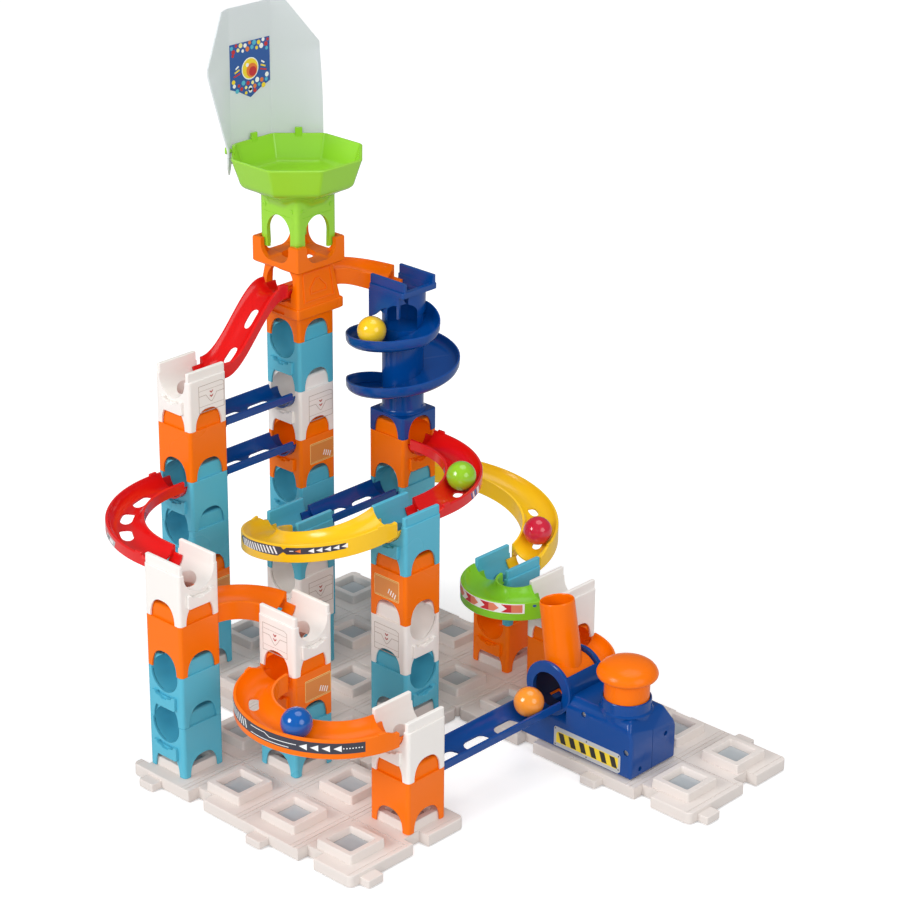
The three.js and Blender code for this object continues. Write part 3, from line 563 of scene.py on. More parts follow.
def face_map(column, row, level, side):
    """A block's face: u to the right seen from outside, v up from the block's foot."""
    x, y, z = at_x(column), at_y(row), foot_z(level)
    if side == "-y":
        return lambda u, v, out: (x + u, y - HALF - out, z + v)
    return lambda u, v, out: (x + HALF + out, y + u, z + v)


# ------------------------------------------------------------------ base plates
def base_plate(name, first_column, last_column, first_row, last_row, sides, node):
    x0, x1 = at_x(first_column - .5), at_x(last_column + .5)
    y0, y1 = at_y(first_row - .5), at_y(last_row + .5)
    columns = range(first_column, last_column + 1)
    rows = range(first_row, last_row + 1)
    cells = [(at_x(column), at_y(row)) for column in columns for row in rows]
    plate = slab(x1 - x0, 4.0, 0, PLATE, top=0.8, foot=0.5, depth=y1 - y0,
                 at=((x0 + x1) / 2, (y0 + y1) / 2), n=6)
    # square bosses with an opening that widens upwards
    for cell in cells:
        join(plate, slab(30.4, 1.6, PLATE - 1, PLATE + 6.2, top=0.7, at=cell, taper=0.35))
    opening = ((1.6, 18.6), (PLATE + 2.4, 18.8), (PLATE + 5.2, 20.4), (PLATE + 5.9, 21.2),
               (PLATE + 7, 23.4))
    for cell in cells:
        cut(plate, stack([(z, width, 1.2) for z, width in opening], at=cell))

    def tab(x, y, dx, dy):
        join(plate, slab(9.0 if dx else 13, 1.2, 0.2, 5.6, top=0.6, foot=0.4,
                         depth=13 if dx else 9.0, at=(x + dx * 3.5, y + dy * 3.5)))

    def notch(x, y, dx, dy):
        half_x, half_y = (4.4, 6.9) if dx else (6.9, 4.4)
        cut(plate, box((x - dx * 4 - half_x, y - dy * 4 - half_y, -1),
                       (x - dx * 4 + half_x, y - dy * 4 + half_y, 9)))

    for k in range((last_column - first_column + 2) // 2):
        near, far = at_x(first_column + 2 * k - .22), at_x(first_column + 2 * k + .72)
        if "-y" in sides:
            tab(near + 7.5, y0, 0, -1)
            notch(far, y0, 0, -1)
        if "+y" in sides:
            tab(far, y1, 0, 1)
            notch(near, y1, 0, 1)
    for k in range((last_row - first_row + 2) // 2):
        near, far = at_y(first_row + 2 * k - .22), at_y(first_row + 2 * k + .72)
        if "+x" in sides:
            tab(x1, near, 1, 0)
            notch(x1, far, 1, 0)
        if "-x" in sides:
            tab(x0, far, -1, 0)
            notch(x0, near, -1, 0)
    clean(plate, bevel=0.45)

    def groove_along_y(x, half, deep):
        cut(plate, box((x - half, y0 - 1, PLATE - deep), (x + half, y1 + 1, PLATE + .3)))

    # moulded lines between the cells, then finer ones beside the bosses
    for column in columns[:-1]:
        groove_along_y(at_x(column + .5), .28, .45)
    for row in rows[:-1]:
        y = at_y(row + .5)
        cut(plate, box((x0 - 1, y - .28, PLATE - .45), (x1 + 1, y + .28, PLATE + .3)))
    for column in columns:
        for offset in (-21.5, 21.5):
            groove_along_y(at_x(column) + offset, .18, .3)
    shade(plate.data, 32)
    dress(plate, name, BASE_WHITE, node)
    # grey floors seen down the boss openings
    floors = group([slab(18.5, 1.0, 1.7, 10.0, top=0.3, at=cell) for cell in cells])
    dress(clean(floors), name + "_boss_floors", GREY)


base_plate("base_plate_1", 0, 3, 0, 1, ("-y", "+x", "-x"), "base_plates_front")
base_plate("base_plate_2", -2, 1, 2, 3, ("-x", "+x"), "base_plates_front")
base_plate("base_plate_3", -2, 1, 4, 5, ("+y", "-x"), "base_plates_rear")
base_plate("base_plate_4", 2, 5, 4, 5, ("-y", "+x", "+y"), "base_plates_rear")

# ------------------------------------------------------------------ tower blocks
# raised bracket below a mouth, (x, z) on the -Y face
BRACKET = [
    (-10.8, 12.2), (-9.6, 11.4), (9.6, 11.4), (10.8, 12.2), (10.8, 20.8), (8.0, 20.8),
    (7.2, 18.9), (3.0, 18.3), (2.4, 17.2), (-2.4, 17.2), (-3.0, 18.3), (-7.2, 18.9),
    (-8.0, 20.8), (-10.8, 20.8)]


def cut_both_ways(body, outline):
    for axis in "yx":
        cut(body, prism(axis, outline, -22, 22))


def arch_cut(body, z=0):
    """Flattened arches through the foot, along both axes."""
    width, height, n = 23.0, 14.0, 20
    points = [(width / 2, -2), (-width / 2, -2)]
    for i in range(n + 1):
        angle = pi - pi * i / n
        side, up = cos(angle), sin(angle)
        points.append((width / 2 * copysign(abs(side) ** 0.78, side),
                       height * up ** 0.92 if up > 1e-9 else 0))
    cut_both_ways(body, [(x, up + z) for x, up in points])


def mouth():
    """A mouth's hollow: a tunnel in from -Y that ends in a dome."""
    radius, dome_start = 12.4, -4.0
    stations = [(-22, radius)]
    for k in range(9):
        angle = k / 8 * pi / 2 * 0.97
        stations.append((dome_start + radius * sin(angle), radius * cos(angle)))
    return turned("y", stations, (0, GROOVE_UP), 40)


def pocket(body, angle):
    """A slot for a track's end, and the bracket below it."""
    cut(body, turn(box((-7.4, -HALF - 1, 18.5), (7.4, -HALF + 1.5, 20.9)), angle))
    bracket = clean(prism("y", BRACKET, -HALF - 2.1, -HALF + 1.2), bevel=0.5, angle=30)
    join(body, turn(bracket, angle))


def block(mouths):
    """A block with mouths at the given angles from -Y, hollow below, with a collar on top."""
    body = slab(BLOCK, 2.6, 0, LEVEL, top=0.5, foot=0.5, n=6)
    join(body, slab(29.8, 2.2, LEVEL - 3, LEVEL + 9.4, top=1.5, n=6))
    cut(body, slab(30.7, 1.6, -2, LEVEL - 2.2))
    cut(body, slab(24.0, 2.0, LEVEL - 4, LEVEL + 20))
    arch_cut(body)
    clean(body, bevel=0.35)
    if mouths:
        join(body, slab(29.4, 2.0, 17.0, LEVEL + 8.6, top=0.5))
        join(body, slab(31.5, 1.2, 16.8, 21.6))
        for angle in mouths:
            cut(body, turn(mouth(), angle))
        for angle in mouths:
            pocket(body, angle)
    return clean(body, smooth=34)


def channel():
    """A tower's top block, with an open groove along Y and a hole in its floor."""
    body = slab(BLOCK, 2.6, 0, 35.4, top=0.6, foot=0.5, n=6)
    for side in (-1, 1):
        join(body, slab(3.0, 0.9, 33, 41.6, top=0.7, depth=BLOCK - 1.0, at=(side * 14.0, 0)))
    cut(body, slab(30.7, 1.6, -2, 17.0))
    arch_cut(body)
    clean(body, bevel=0.35)
    cut(body, prism("y", trough(12.5, GROOVE_UP, 60), -22, 22))
    cut(body, rod("z", 9.4, 8, 30, n=40))
    for side in (-1, 1):
        for end in (-1, 1):
            cut(body, box((side * 16.2 - .9, end * 14.6 - .35, 36.5),
                          (side * 16.2 + .9, end * 14.6 + .35, 43)))
    pocket(body, 0)
    pocket(body, 180)
    return clean(body, smooth=34)


SHAPES = {"plain": lambda: block(()), "mouth": lambda: block((0,)),
          "two mouths": lambda: block((0, 180)), "channel": channel}
# tower number, column, row, then its pieces from the ground up: (name ending, plastic,
# ending of the piece it replaces, shape, angle turned). At 0 a mouth looks to -Y, at 90 to
# +X and at 180 to +Y; a channel runs along Y at 0 and along X at 90.
TOWERS = (
    (1, 0, 0, (
        ("block_0", TURQUOISE, "block_lower", "mouth", 0),
        ("block_1", TURQUOISE, "block_lower", "mouth", 0),
        ("block_2", ORANGE, "block_upper", "mouth", 180),
        ("channel_block", WHITE, "channel", "channel", 90))),
    (2, 1, 1, (
        ("block_0", TURQUOISE, "block_lower", "plain", 0),
        ("block_1", ORANGE, "block_upper", "mouth", 0),
        ("channel_block", WHITE, "channel", "channel", 90))),
    (3, -2, 2, (
        ("block_0_shell", TURQUOISE, "block_0", "plain", 0),
        ("block_1_shell", ORANGE, "block_1", "plain", 0),
        ("block_2_shell", TURQUOISE, "blocks_2_3", "mouth", 0),
        ("block_3_shell", TURQUOISE, "blocks_2_3", "two mouths", 0),
        ("block_4_shell", ORANGE, "block_4", "mouth", 180),
        ("channel_block", WHITE, "channel", "channel", 0))),
    (4, 3, 1, (
        ("block_shell", ORANGE, "block", "mouth", 180),
        ("channel_block", WHITE, "channel", "channel", 0))),
    (5, -2, 4, (
        ("block_0_shell", TURQUOISE, "blocks_0_2", "plain", 0),
        ("block_1_shell", TURQUOISE, "blocks_0_2", "plain", 0),
        ("block_2_shell", TURQUOISE, "blocks_0_2", "mouth", 0),
        ("block_3_shell", ORANGE, "block_3", "mouth", 0),
        ("block_4_shell", WHITE, "block_4", "mouth", 0),
        ("block_5_shell", TURQUOISE, "block_5", "mouth", 0))),
    (6, 1, 3, (
        ("block_0_shell", TURQUOISE, "block_0", "mouth", 90),
        ("block_1_shell", WHITE, "block_1", "mouth", 90),
        ("block_2_shell", ORANGE, "block_2", "plain", 0),
        ("channel_block", TURQUOISE, "channel", "channel", 0))),
    (7, -1, 3, (
        ("block_0_shell", TURQUOISE, "block_0", "plain", 0),
        ("block_1_shell", WHITE, "block_1", "mouth", 0),
        ("channel_block", TURQUOISE, "channel", "channel", 0))),
    (8, 1, 5, (
        ("block_shell", ORANGE, "block", "mouth", 0),
        ("channel_block", TURQUOISE, "channel", "channel", 0))),
    (9, 2, 5, (
        ("block_shell", ORANGE, "block", "mouth", 90),
        ("channel_block", WHITE, "channel", "channel", 0))),
    (10, -1, 5, (
        ("block_0_shell", TURQUOISE, "blocks_0_2", "plain", 0),
        ("block_1_shell", TURQUOISE, "blocks_0_2", "plain", 0),
        ("block_2_shell", TURQUOISE, "blocks_0_2", "two mouths", 0),
        ("block_3_shell", ORANGE, "block_3", "mouth", 90))),
)
templates = {}
for number, column, row, pieces in TOWERS:
    for level, (ending, material, node, shape, angle) in enumerate(pieces):
        if shape not in templates:
            templates[shape] = SHAPES[shape]()
        piece = turn(link("part", templates[shape].data.copy()), angle)
        shift(piece, at_x(column), at_y(row), foot_z(level))
        dress(piece, f"tower{number}_{ending}", material, f"tower{number}_{node}")
for template in templates.values():
    drop(template)


def tan_label(name, column, row, level, side):
    """A tan plate with a cream rim and four slanting dashes."""
    mid = 3.6 if side == "+x" else -0.6

    def plate(u0, v0, u1, v1, corner):
        return [(u + (u0 + u1) / 2, v + (v0 + v1) / 2)
                for u, v in rounded(u1 - u0, corner, v1 - v0, 3)]

    shapes = [(plate(mid - 11.2, 15.6, mid + 11.2, 30.8, 0.8), "cream", 0),
              (plate(mid - 10.95, 15.85, mid + 10.95, 30.55, 0.7), "tan", 1)]
    for i in range(4):
        shapes.append((stroke((mid + 2.6 + i * 1.9, 23.2 - i * 0.8),
                              (mid + 1.4 + i * 1.9, 20.0 - i * 0.8), 0.8), "white", 3))
    for v in (29.8, 16.6):
        shapes.append((stroke((mid - 10.2, v), (mid + 10.2, v), 0.2), "cream", 3))
    decal(name, shapes, face_map(column, row, level, side))


def panel_label(name, column, row, level, side):
    """Thin panel lines and two chevrons."""
    mid = 3.0 if side == "+x" else -0.8
    rim = [(-12, 12), (12, 12), (12, 29.6), (9.4, 30.8), (-12, 30.8)]
    dip = [(-12, 23.6), (-5.2, 23.6), (-2.4, 20.0), (-0.6, 18.2), (0.6, 18.2), (2.4, 20.0),
           (5.2, 23.6), (12, 23.6)]
    lines = [stroke(start, end, 0.34) for start, end in zip(rim, rim[1:] + rim[:1])]
    lines += [stroke(start, end, 0.34) for start, end in zip(dip, dip[1:])]
    lines += [stroke((-12, v), (12, v), 0.2) for v in (27.2, 16.0)]
    chevrons = [[(-1.5, v), (0, v - 1.2), (1.5, v), (1.5, v + 0.9), (0, v - 0.1),
                 (-1.5, v + 0.9)] for v in (25.0, 22.0)]
    shapes = [([(u * 0.92 + mid, v) for u, v in outline], ink, 0)
              for outlines, ink in ((lines, "panel_line"), (chevrons, "chevron"))
              for outline in outlines]
    decal(name, shapes, face_map(column, row, level, side))


tan_label("label_tower2", 1, 1, 1, "+x")
tan_label("label_tower3", -2, 2, 1, "-y")
tan_label("label_tower3_side", -2, 2, 1, "+x")
tan_label("label_tower5", -2, 4, 3, "+x")
tan_label("label_tower6", 1, 3, 2, "-y")
panel_label("panel_tower5", -2, 4, 4, "+x")
panel_label("panel_tower3", -2, 2, 5, "+x")
panel_label("panel_tower2", 1, 1, 2, "-y")
panel_label("panel_tower6", 1, 3, 1, "-y")
panel_label("panel_tower7", -1, 3, 1, "+x")


# ------------------------------------------------------------------ track paths
# A path is (length, point); point(distance) gives x, y and the unit normal to the left of travel.
def straight(x, y0, y1):
    length = abs(y1 - y0)
    way = (y1 - y0) / length
    return length, lambda s: (x, y0 + way * s, -way, 0.0)


def arc(x, y, radius, start, sweep):
    way = copysign(1, sweep)

    def point(s):
        angle = radians(start) + way * s / radius
        return (x + radius * cos(angle), y + radius * sin(angle),
                -way * cos(angle), -way * sin(angle))
    return abs(sweep) * pi / 180 * radius, point


def half(x, y, radius, depth, start, sweep):
    """A U: half an ellipse."""
    way = copysign(1, sweep)
    length = pi * (radius + depth) / 2

    def point(s):
        angle = radians(start + sweep * s / length)
        dx, dy = -way * radius * sin(angle), way * depth * cos(angle)
        size = hypot(dx, dy)
        return (x + radius * cos(angle), y + depth * sin(angle), -dy / size, dx / size)
    return length, point


def quarter(x, y, radius, start, sweep):
    """A quarter turn with straight ends."""
    way = copysign(1, sweep)

    def end(angle):
        return (x + radius * cos(angle), y + radius * sin(angle),
                -way * sin(angle), way * cos(angle))

    begin, finish = end(radians(start)), end(radians(start + sweep))
    centre_x = x + STRAIGHT * (cos(radians(start)) + begin[2])
    centre_y = y + STRAIGHT * (sin(radians(start)) + begin[3])
    turn_length, turn_point = arc(centre_x, centre_y, radius - STRAIGHT, start, sweep)
    length = turn_length + 2 * STRAIGHT

    def point(s):
        if STRAIGHT <= s <= length - STRAIGHT:
            return turn_point(s - STRAIGHT)
        (x0, y0, dx, dy), run = (begin, s) if s < STRAIGHT else (finish, s - length)
        return (x0 + dx * run, y0 + dy * run, -dy, dx)
    return length, point


# ------------------------------------------------------------------ tracks
TRACK_HALF = 12.7    # half the width of a track
DIP_REACH = 7        # how far a dip in the outer lip spreads along the track


def sweep_along(section, path, height, start, end, steps):
    """section(s) gives the closed outline (left, up) at distance s."""
    length, point = path
    rings = []
    for i in range(steps + 1):
        s = start + (end - start) * i / steps
        x, y, nx, ny = point(s)
        z = height(s / length)
        rings.append([(x + nx * left, y + ny * left, z + up) for left, up in section(s)])
    return loft(rings)


def shell_section(skirt, outer, dips):
    """Rounded lips, a groove, thin skirts down to height skirt and a hollow underneath.

    dips are (distance, depth) and lower the lip on the outer side only.
    """
    groove, under, out = 11.4, 12.55, TRACK_HALF

    def section(s):
        dip = 0.0
        for place, depth in dips:
            gap = abs(s - place)
            if gap < DIP_REACH:
                dip = max(dip, depth * (1 - smooth01(gap / DIP_REACH)))
        right, left = (-3.0 - (dip if side == outer else 0.0) for side in (-1, 1))
        start, end = asin(-right / groove), asin(-left / groove)
        points = [(-out, skirt + 0.35), (-out, right - 0.7), (-out + 0.3, right - 0.2),
                  (-out + 0.8, right)]
        points += curve(groove, pi + start, pi - start - end, 16)
        points += [(out - 0.8, left), (out - 0.3, left - 0.2), (out, left - 0.7),
                   (out, skirt + 0.35), (out - 0.35, skirt), (out - 1.0, skirt)]
        if skirt < -under + 0.4:
            points += [(out - 1.3, -under + 4.4)]
            points += curve(under, -0.62, -(pi - 1.24), 8)
            points += [(-out + 1.3, -under + 4.4)]
        else:
            low = asin(-(skirt + 0.3) / under)
            limit = out - 1.15
            points += [(min(limit, max(-limit, x)), z)
                       for x, z in curve(under, -low, -(pi - 2 * low), 8)]
        return points + [(-out + 1.0, skirt), (-out + 0.35, skirt)]
    return section


def tongue_section(s):
    return curve(12.15, pi + 0.17, pi - 0.34, 14) + curve(10.9, -0.17, -(pi - 0.34), 14)


def slot_cutter(path, height, start, end, half_width):
    """A stadium-shaped hole that follows the groove."""
    length, point = path
    s0, s1 = start * length, end * length
    outline = curve(half_width, -pi / 2, pi, 8, (s1 - half_width, 0))
    outline += curve(half_width, pi / 2, pi, 8, (s0 + half_width, 0))
    # extra points on the long sides let them bend
    points = []
    for here, after in zip(outline, outline[1:] + outline[:1]):
        points.append(here)
        run, rise = after[0] - here[0], after[1] - here[1]
        if abs(run) > 3:
            k = int(abs(run) // 2) + 1
            points += [(here[0] + run * j / k, here[1] + rise * j / k) for j in range(1, k)]
    rings = []
    for up in (-22, 1.5):
        ring = []
        for s, left in points:
            x, y, nx, ny = point(s)
            ring.append((x + nx * left, y + ny * left, height(s / length) + up))
        rings.append(ring)
    return loft(rings)


tracks = {}    # name: (path, height of the groove axis)


def track(name, material, path, ends, up, steps, slots=(), slot_half=3.1, ease=None,
          tongues=(5, 5), lead=(2.8, 2.8), skirt=-15.8, outer=1, dips=(), lugs=()):
    """One track. Shares of the length run from 0 to 1; sides are 1 for left, -1 for right.

    ends: tongue heights at start and end; up: the groove axis over them; slots: (from, to);
    ease: (start, span) of the slope; lead: gap before the shell at each end;
    dips: (share, depth) in the lip on the outer side; lugs: (share, side, height).
    """
    length, point = path
    high, low = ends[0] + up[0], ends[1] + up[1]

    def height(t):
        t = clamp01(t)
        if ease:
            t = smooth01(clamp01((t - ease[0]) / ease[1]))
        return high + (low - high) * t

    section = shell_section(skirt, outer, [(share * length, depth) for share, depth in dips])
    shell = sweep_along(section, path, height, lead[0], length - lead[1], steps)
    for start, end in slots:
        cut(shell, slot_cutter(path, height, start, end, slot_half))

    def tongue(s, z, start, end):
        x, y, nx, ny = point(s)
        line = (length, lambda q: (x + ny * q, y - nx * q, nx, ny))
        join(shell, sweep_along(tongue_section, line, lambda t: z, start, end, 2))

    if tongues[0]:
        tongue(0, ends[0], -tongues[0], lead[0] + 1.5)
    if tongues[1]:
        tongue(length, ends[1], -lead[1] - 1.5, tongues[1])
    for share, side, rise in lugs:
        x, y, nx, ny = point(share * length)
        lug = slab(1.9, 0.6, -6.0, -3.0 + rise, top=0.6, depth=6.0)
        turn(lug, degrees(atan2(ny, nx)))
        join(shell, shift(lug, x + nx * side * 11.7, y + ny * side * 11.7, height(share)))
    clean(shell, smooth=36)
    tracks[name] = (path, height)
    dress(shell, name + "_shell", material, name)


CASTLE_Z = foot_z(6) + CASTLE_UP
U_DIPS = ((0.975, 3.0), (0.025, 3.0))
U_LUGS = ((.915, 1, 0.9), (.085, 1, 0.9))
track("track_red_ramp", RED,
      straight(at_x(-2), at_y(4 - HALF_CELL), at_y(2 + HALF_CELL)),
      (CASTLE_Z, groove_z(5)), (6, 6), 40, slots=((.335, .5), (.635, .79)), ease=(.12, .82),
      lead=(5.6, 2.8), skirt=-12, lugs=((.16, 1, 1.6), (.93, 1, 1.4)))
track("track_orange_top", ORANGE,
      arc(at_x(-2) + SMALL_TURN, at_y(4 + HALF_CELL), SMALL_TURN, 180, -90),
      (CASTLE_Z, groove_z(6)), (6.5, 9.5), 40, ease=(.2, .7), lead=(8, 2.8), skirt=-14.5)
track("track_red_left", RED,
      quarter(at_x(-2) + BIG_TURN, at_y(2 - HALF_CELL), BIG_TURN, 180, 90),
      (groove_z(3), groove_z(3)), (5.8, 5.8), 56, slots=((.16, .3), (.37, .5), (.56, .69)),
      slot_half=4.1, skirt=-10.5, outer=-1, dips=((0.985, 2.2),),
      lugs=((.07, -1, 1.5), (.93, -1, 1.5)))
track("track_orange_left", ORANGE,
      arc(at_x(1 - HALF_CELL), at_y(HALF_CELL), SMALL_TURN, 180, -90),
      (groove_z(2), groove_z(2)), (8, 8), 36)
track("track_orange_front", ORANGE,
      half(at_x(2), at_y(1 - HALF_CELL), PITCH, U_DEPTH, 0, -180),
      (groove_z(1), groove_z(1)), (8.4, 8.4), 72, slots=((.2, .28), (.69, .8)),
      dips=U_DIPS, lugs=U_LUGS)
track("track_yellow_left", YELLOW,
      half(at_x(0), at_y(3 - HALF_CELL), PITCH, U_DEPTH, 0, -180),
      (groove_z(3), groove_z(2)), (12, 9), 72, slots=((.3, .36), (.66, .72)),
      dips=U_DIPS, lugs=U_LUGS)
track("track_yellow_right", YELLOW,
      half(at_x(0), at_y(5 + HALF_CELL), PITCH, U_DEPTH, 180, -180),
      (groove_z(2), groove_z(1)), (11, 10), 72, slots=((.6, .66), (.72, .78), (.84, .9)),
      dips=U_DIPS, lugs=U_LUGS[::-1])
track("track_red_right", RED,
      quarter(at_x(-1 + HALF_CELL), at_y(5) - BIG_TURN, BIG_TURN, 90, -90),
      (groove_z(3), groove_z(3)), (5.8, 5.8), 56, slots=((.45, .52), (.66, .73)),
      skirt=-10.5, dips=((0.985, 2.2),), lugs=((.07, 1, 1.5), (.93, 1, 1.5)))
track("track_green", GREEN,
      half(at_x(1.5), at_y(5 - HALF_CELL), PITCH / 2, 27.5, 180, 180),
      (groove_z(1), groove_z(1)), (9.4, 9.4), 60)
track("track_orange_feed", ORANGE,
      arc(at_x(2 + HALF_CELL), at_y(5) - SMALL_TURN, SMALL_TURN, 90, -90),
      (groove_z(0), groove_z(0)), (10, 8), 40, tongues=(5, 0), lead=(2.8, 1))
for name, column, front_row, back_row, level in (
        ("rail_upper", -2, 4, 2, 4), ("rail_lower", -2, 4, 2, 3), ("rail_middle", -1, 5, 3, 2)):
    track(name, BLUE,
          straight(at_x(column), at_y(front_row - HALF_CELL), at_y(back_row + HALF_CELL)),
          (groove_z(level), groove_z(level)), (RAIL_UP, RAIL_UP), 28,
          slots=((.13, .47), (.53, .87)), slot_half=5.8, skirt=-8.5)
DRUM_FRONT, DRUM_BACK = 55.0, 91.0    # y of the launcher drum's ends
track("rail_launcher", BLUE, straight(at_x(3), at_y(1 + HALF_CELL), DRUM_FRONT),
      (groove_z(0), groove_z(0)), (RAIL_UP, RAIL_UP), 36,
      slots=((.07, .26), (.32, .51), (.57, .76)), slot_half=5.4, tongues=(5, 0),
      lead=(2.8, .4), skirt=-8.5)


# ------------------------------------------------------------------ castle block
def castle():
    body = slab(BLOCK, 2.4, 0, 18, top=0.4, foot=0.5, n=5)
    join(body, stack((
        (16.8, 34.0, 2.4), (18.2, 40.6, 2.0), (18.9, 42.4, 1.6), (19.7, 43.0, 1.6),
        (25.0, 43.0, 1.6), (25.7, 42.4, 1.4), (26.0, 41.6, 1.2)), n=5))
    cut(body, slab(30.7, 1.6, -2, 15.5))
    arch_cut(body)
    # tapering neck, then the crown
    join(body, stack((
        (25.2, 41.0, 1.6), (26.4, 40.2, 1.8), (38, 36.8, 2.0), (50.4, 33.6, 2.2),
        (51.8, 33.8, 2.2)), n=5))
    join(body, stack((
        (50.6, 34.0, 2.2), (51.6, 41.6, 1.8), (52.3, 43.6, 1.4), (53.0, 44.6, 1.2),
        (68.9, 44.6, 1.2), (69.6, 44.0, 1.0), (70.0, 43.2, 0.8)), n=5))
    # hollow crown: thin walls round a floor with a hole
    cut(body, stack(((57.0, 37.6, 1.2), (72.0, 38.4, 1.2))))
    cut(body, rod("z", 11.4, 14, 60, n=40))
    join(body, slab(38.2, 1.4, 55.0, 57.6))
    cut(body, rod("z", 11.4, 40, 62, n=40))
    # round-bottomed openings through the crown
    side, bottom, bend, top = 27.0 / 2, 56.8, 9.0, 74
    angles = [pi / 2 * i / 8 for i in range(9)]
    notch = [(-side, top), (-side, bottom + bend)]
    notch += [(-side + bend - bend * cos(angle), bottom + bend - bend * sin(angle))
              for angle in angles[1:]]
    notch += [(side - bend + bend * sin(angle), bottom + bend - bend * cos(angle))
              for angle in angles]
    notch += [(side, top)]
    for angle in (0, 90):
        cut(body, turn(prism("y", notch, -30, 30), angle))
    # hollow neck with openings on -Y, +Y and -X
    cut(body, slab(27.5, 1.5, 28.0, 49.6))
    for low, high in ((-26, -6), (6, 26)):
        cut(body, rod("y", 12.9, low, high, (0, CASTLE_UP)))
    port = [(-12.2, 29.2), (12.2, 29.2), (11.0, 45.0), (9.4, 48.2), (6.0, 49.4), (-6.0, 49.4),
            (-9.4, 48.2), (-11.0, 45.0)]
    cut(body, prism("y", port, -26, 26))
    cut(body, prism("x", port, -26, -6))
    for low, high in ((-23, -19.6), (19.6, 23)):
        cut(body, box((-7.6, low, 19.8), (7.6, high, 23.4)))
    clean(body, bevel=0.3, angle=34)

    def raised(outline, width):
        """A raised line drawing, laid on the leaning +X face of the neck."""
        drawing = group([prism("y", stroke(start, end, width), -0.8, 0.45)
                         for start, end in zip(outline, outline[1:] + outline[:1])])
        for vert in drawing.data.vertices:
            x, y, z = vert.co / MILLI
            if z < 38:
                surface = 18.4 + (40.2 - 36.8) / 2 * (38 - z) / 11.6
            else:
                surface = 18.4 - (36.8 - 33.6) / 2 * (z - 38) / 12.4
            vert.co = Vector((x, -surface + y, z)) * MILLI
        return turn(drawing, 90)

    mark = [(-7.2, 34.4), (7.2, 34.4), (7.2, 38.0), (1.6, 43.8), (-1.8, 43.8), (-7.2, 38.0)]
    border = [(-12.6, 49.0), (12.6, 49.0), (13.6, 29.6), (-13.6, 29.6)]
    group([body, raised(mark, 0.8), raised(border, 0.6)])
    return clean(body, smooth=34)


dress(shift(castle(), at_x(-2), at_y(4), foot_z(6)), "castle_block_shell", ORANGE,
      "castle_block")


# ------------------------------------------------------------------ catching funnel
def resample(points, n=96):
    """The outline's crossings with n evenly spread rays from the centre."""
    result = []
    for ray_x, ray_y in circle(1, n):
        best = None
        for (x0, y0), (x1, y1) in zip(points, points[1:] + points[:1]):
            dx, dy = x1 - x0, y1 - y0
            cross = ray_x * dy - ray_y * dx
            if abs(cross) < 1e-9:
                continue
            reach = (x0 * dy - y0 * dx) / cross
            share = (x0 * ray_y - y0 * ray_x) / cross
            if reach > 0 and -1e-6 <= share <= 1 + 1e-6 and (best is None or reach < best):
                best = reach
        result.append((ray_x * best, ray_y * best))
    return result


def octagon(flat):
    """A resampled octagon, flat from centre to side, with rounded corners."""
    sides, corner, steps = 8, 2.6, 3
    centre = flat / cos(pi / sides) - corner / cos(pi / sides)
    points = []
    for i in range(sides):
        middle = 2 * pi * (i + 0.5) / sides
        for j in range(steps + 1):
            angle = middle - pi / sides + 2 * pi / sides * j / steps
            points.append((centre * cos(middle) + corner * cos(angle),
                           centre * sin(middle) + corner * sin(angle)))
    return resample(points)


def around(first, second):
    """The outline that holds both, softened where they cross."""
    result = []
    for (x, y), other in zip(first, second):
        own, far = hypot(x, y), hypot(*other)
        most = max(own, far)
        reach = most + 0.35 * ((own ** 14 + far ** 14) ** (1 / 14) - most)
        result.append((x / own * reach, y / own * reach))
    return result


def funnel():
    square = resample(rounded(36.8, 3.0, n=6))
    rings = [(square, -1.7), (square, 21.5)]
    # (octagon's half width, z): the foot widening, then the tray up to its rim and inside
    rings += [(around(square, octagon(flat)), z) for flat, z in (
        (18.6, 23.6), (19.8, 25.8), (21.6, 27.8), (23.8, 29.6), (26.4, 31.3))]
    rings += [(octagon(flat), z) for flat, z in (
        (29.4, 32.9), (32.8, 34.5), (35.4, 35.9), (37.0, 37.2), (38.0, 39.0), (38.7, 41.4),
        (43.1, 55.0), (43.5, 55.6), (43.5, 56.3), (43.0, 56.7), (42.2, 56.7), (41.7, 56.2),
        (37.4, 41.6), (36.4, 39.6), (34.8, 38.4), (31.0, 38.0))]
    rings.append(([(x0 + (x1 - x0) * .5, y0 + (y1 - y0) * .5)
                   for (x0, y0), (x1, y1) in zip(octagon(24), circle(24, 96))], 37.6))
    rings += [(circle(radius, 96), z) for radius, z in (
        (16, 37.0), (12.6, 36.2), (11.6, 35.0), (11.4, 26.0))]
    body = loft([[(x, y, z) for x, y in outline] for outline, z in rings])
    # hollow foot with an arch on every side
    join(body, slab(36.4, 3.0, -8.5, -1.0, foot=0.6))
    cut(body, slab(30.8, 1.8, -10, 24.0))
    cut(body, rod("z", 11.3, 20, 36.0, n=96))
    arch = curve(11.4, 0, pi, 24, (0, 3.2), rise=13.4) + [(-10.9, -9.4), (10.9, -9.4)]
    cut_both_ways(body, arch)
    clean(body, bevel=0.3, angle=50)
    # level seams round the foot, then blocks and pins outside the rim
    for angle in (0, 90, 180, 270):
        cut(body, turn(box((-13.6, -18.8, 17.0), (13.6, -18.15, 17.5)), angle))
    for angle in (45, 90, 135):
        lug = clean(box((-2.5, 41.2, 50), (2.5, 43.4, 61)), bevel=0.4, angle=30)
        group([body, turn(lug, angle)])
        pin = turned("y", ((42.2, 1.5), (46.2, 1.5), (46.3, 2.4), (47.6, 2.4), (48.2, 1.9)),
                     (0, 57.2), 24)
        group([body, turn(pin, angle)])
    return clean(body, smooth=38)


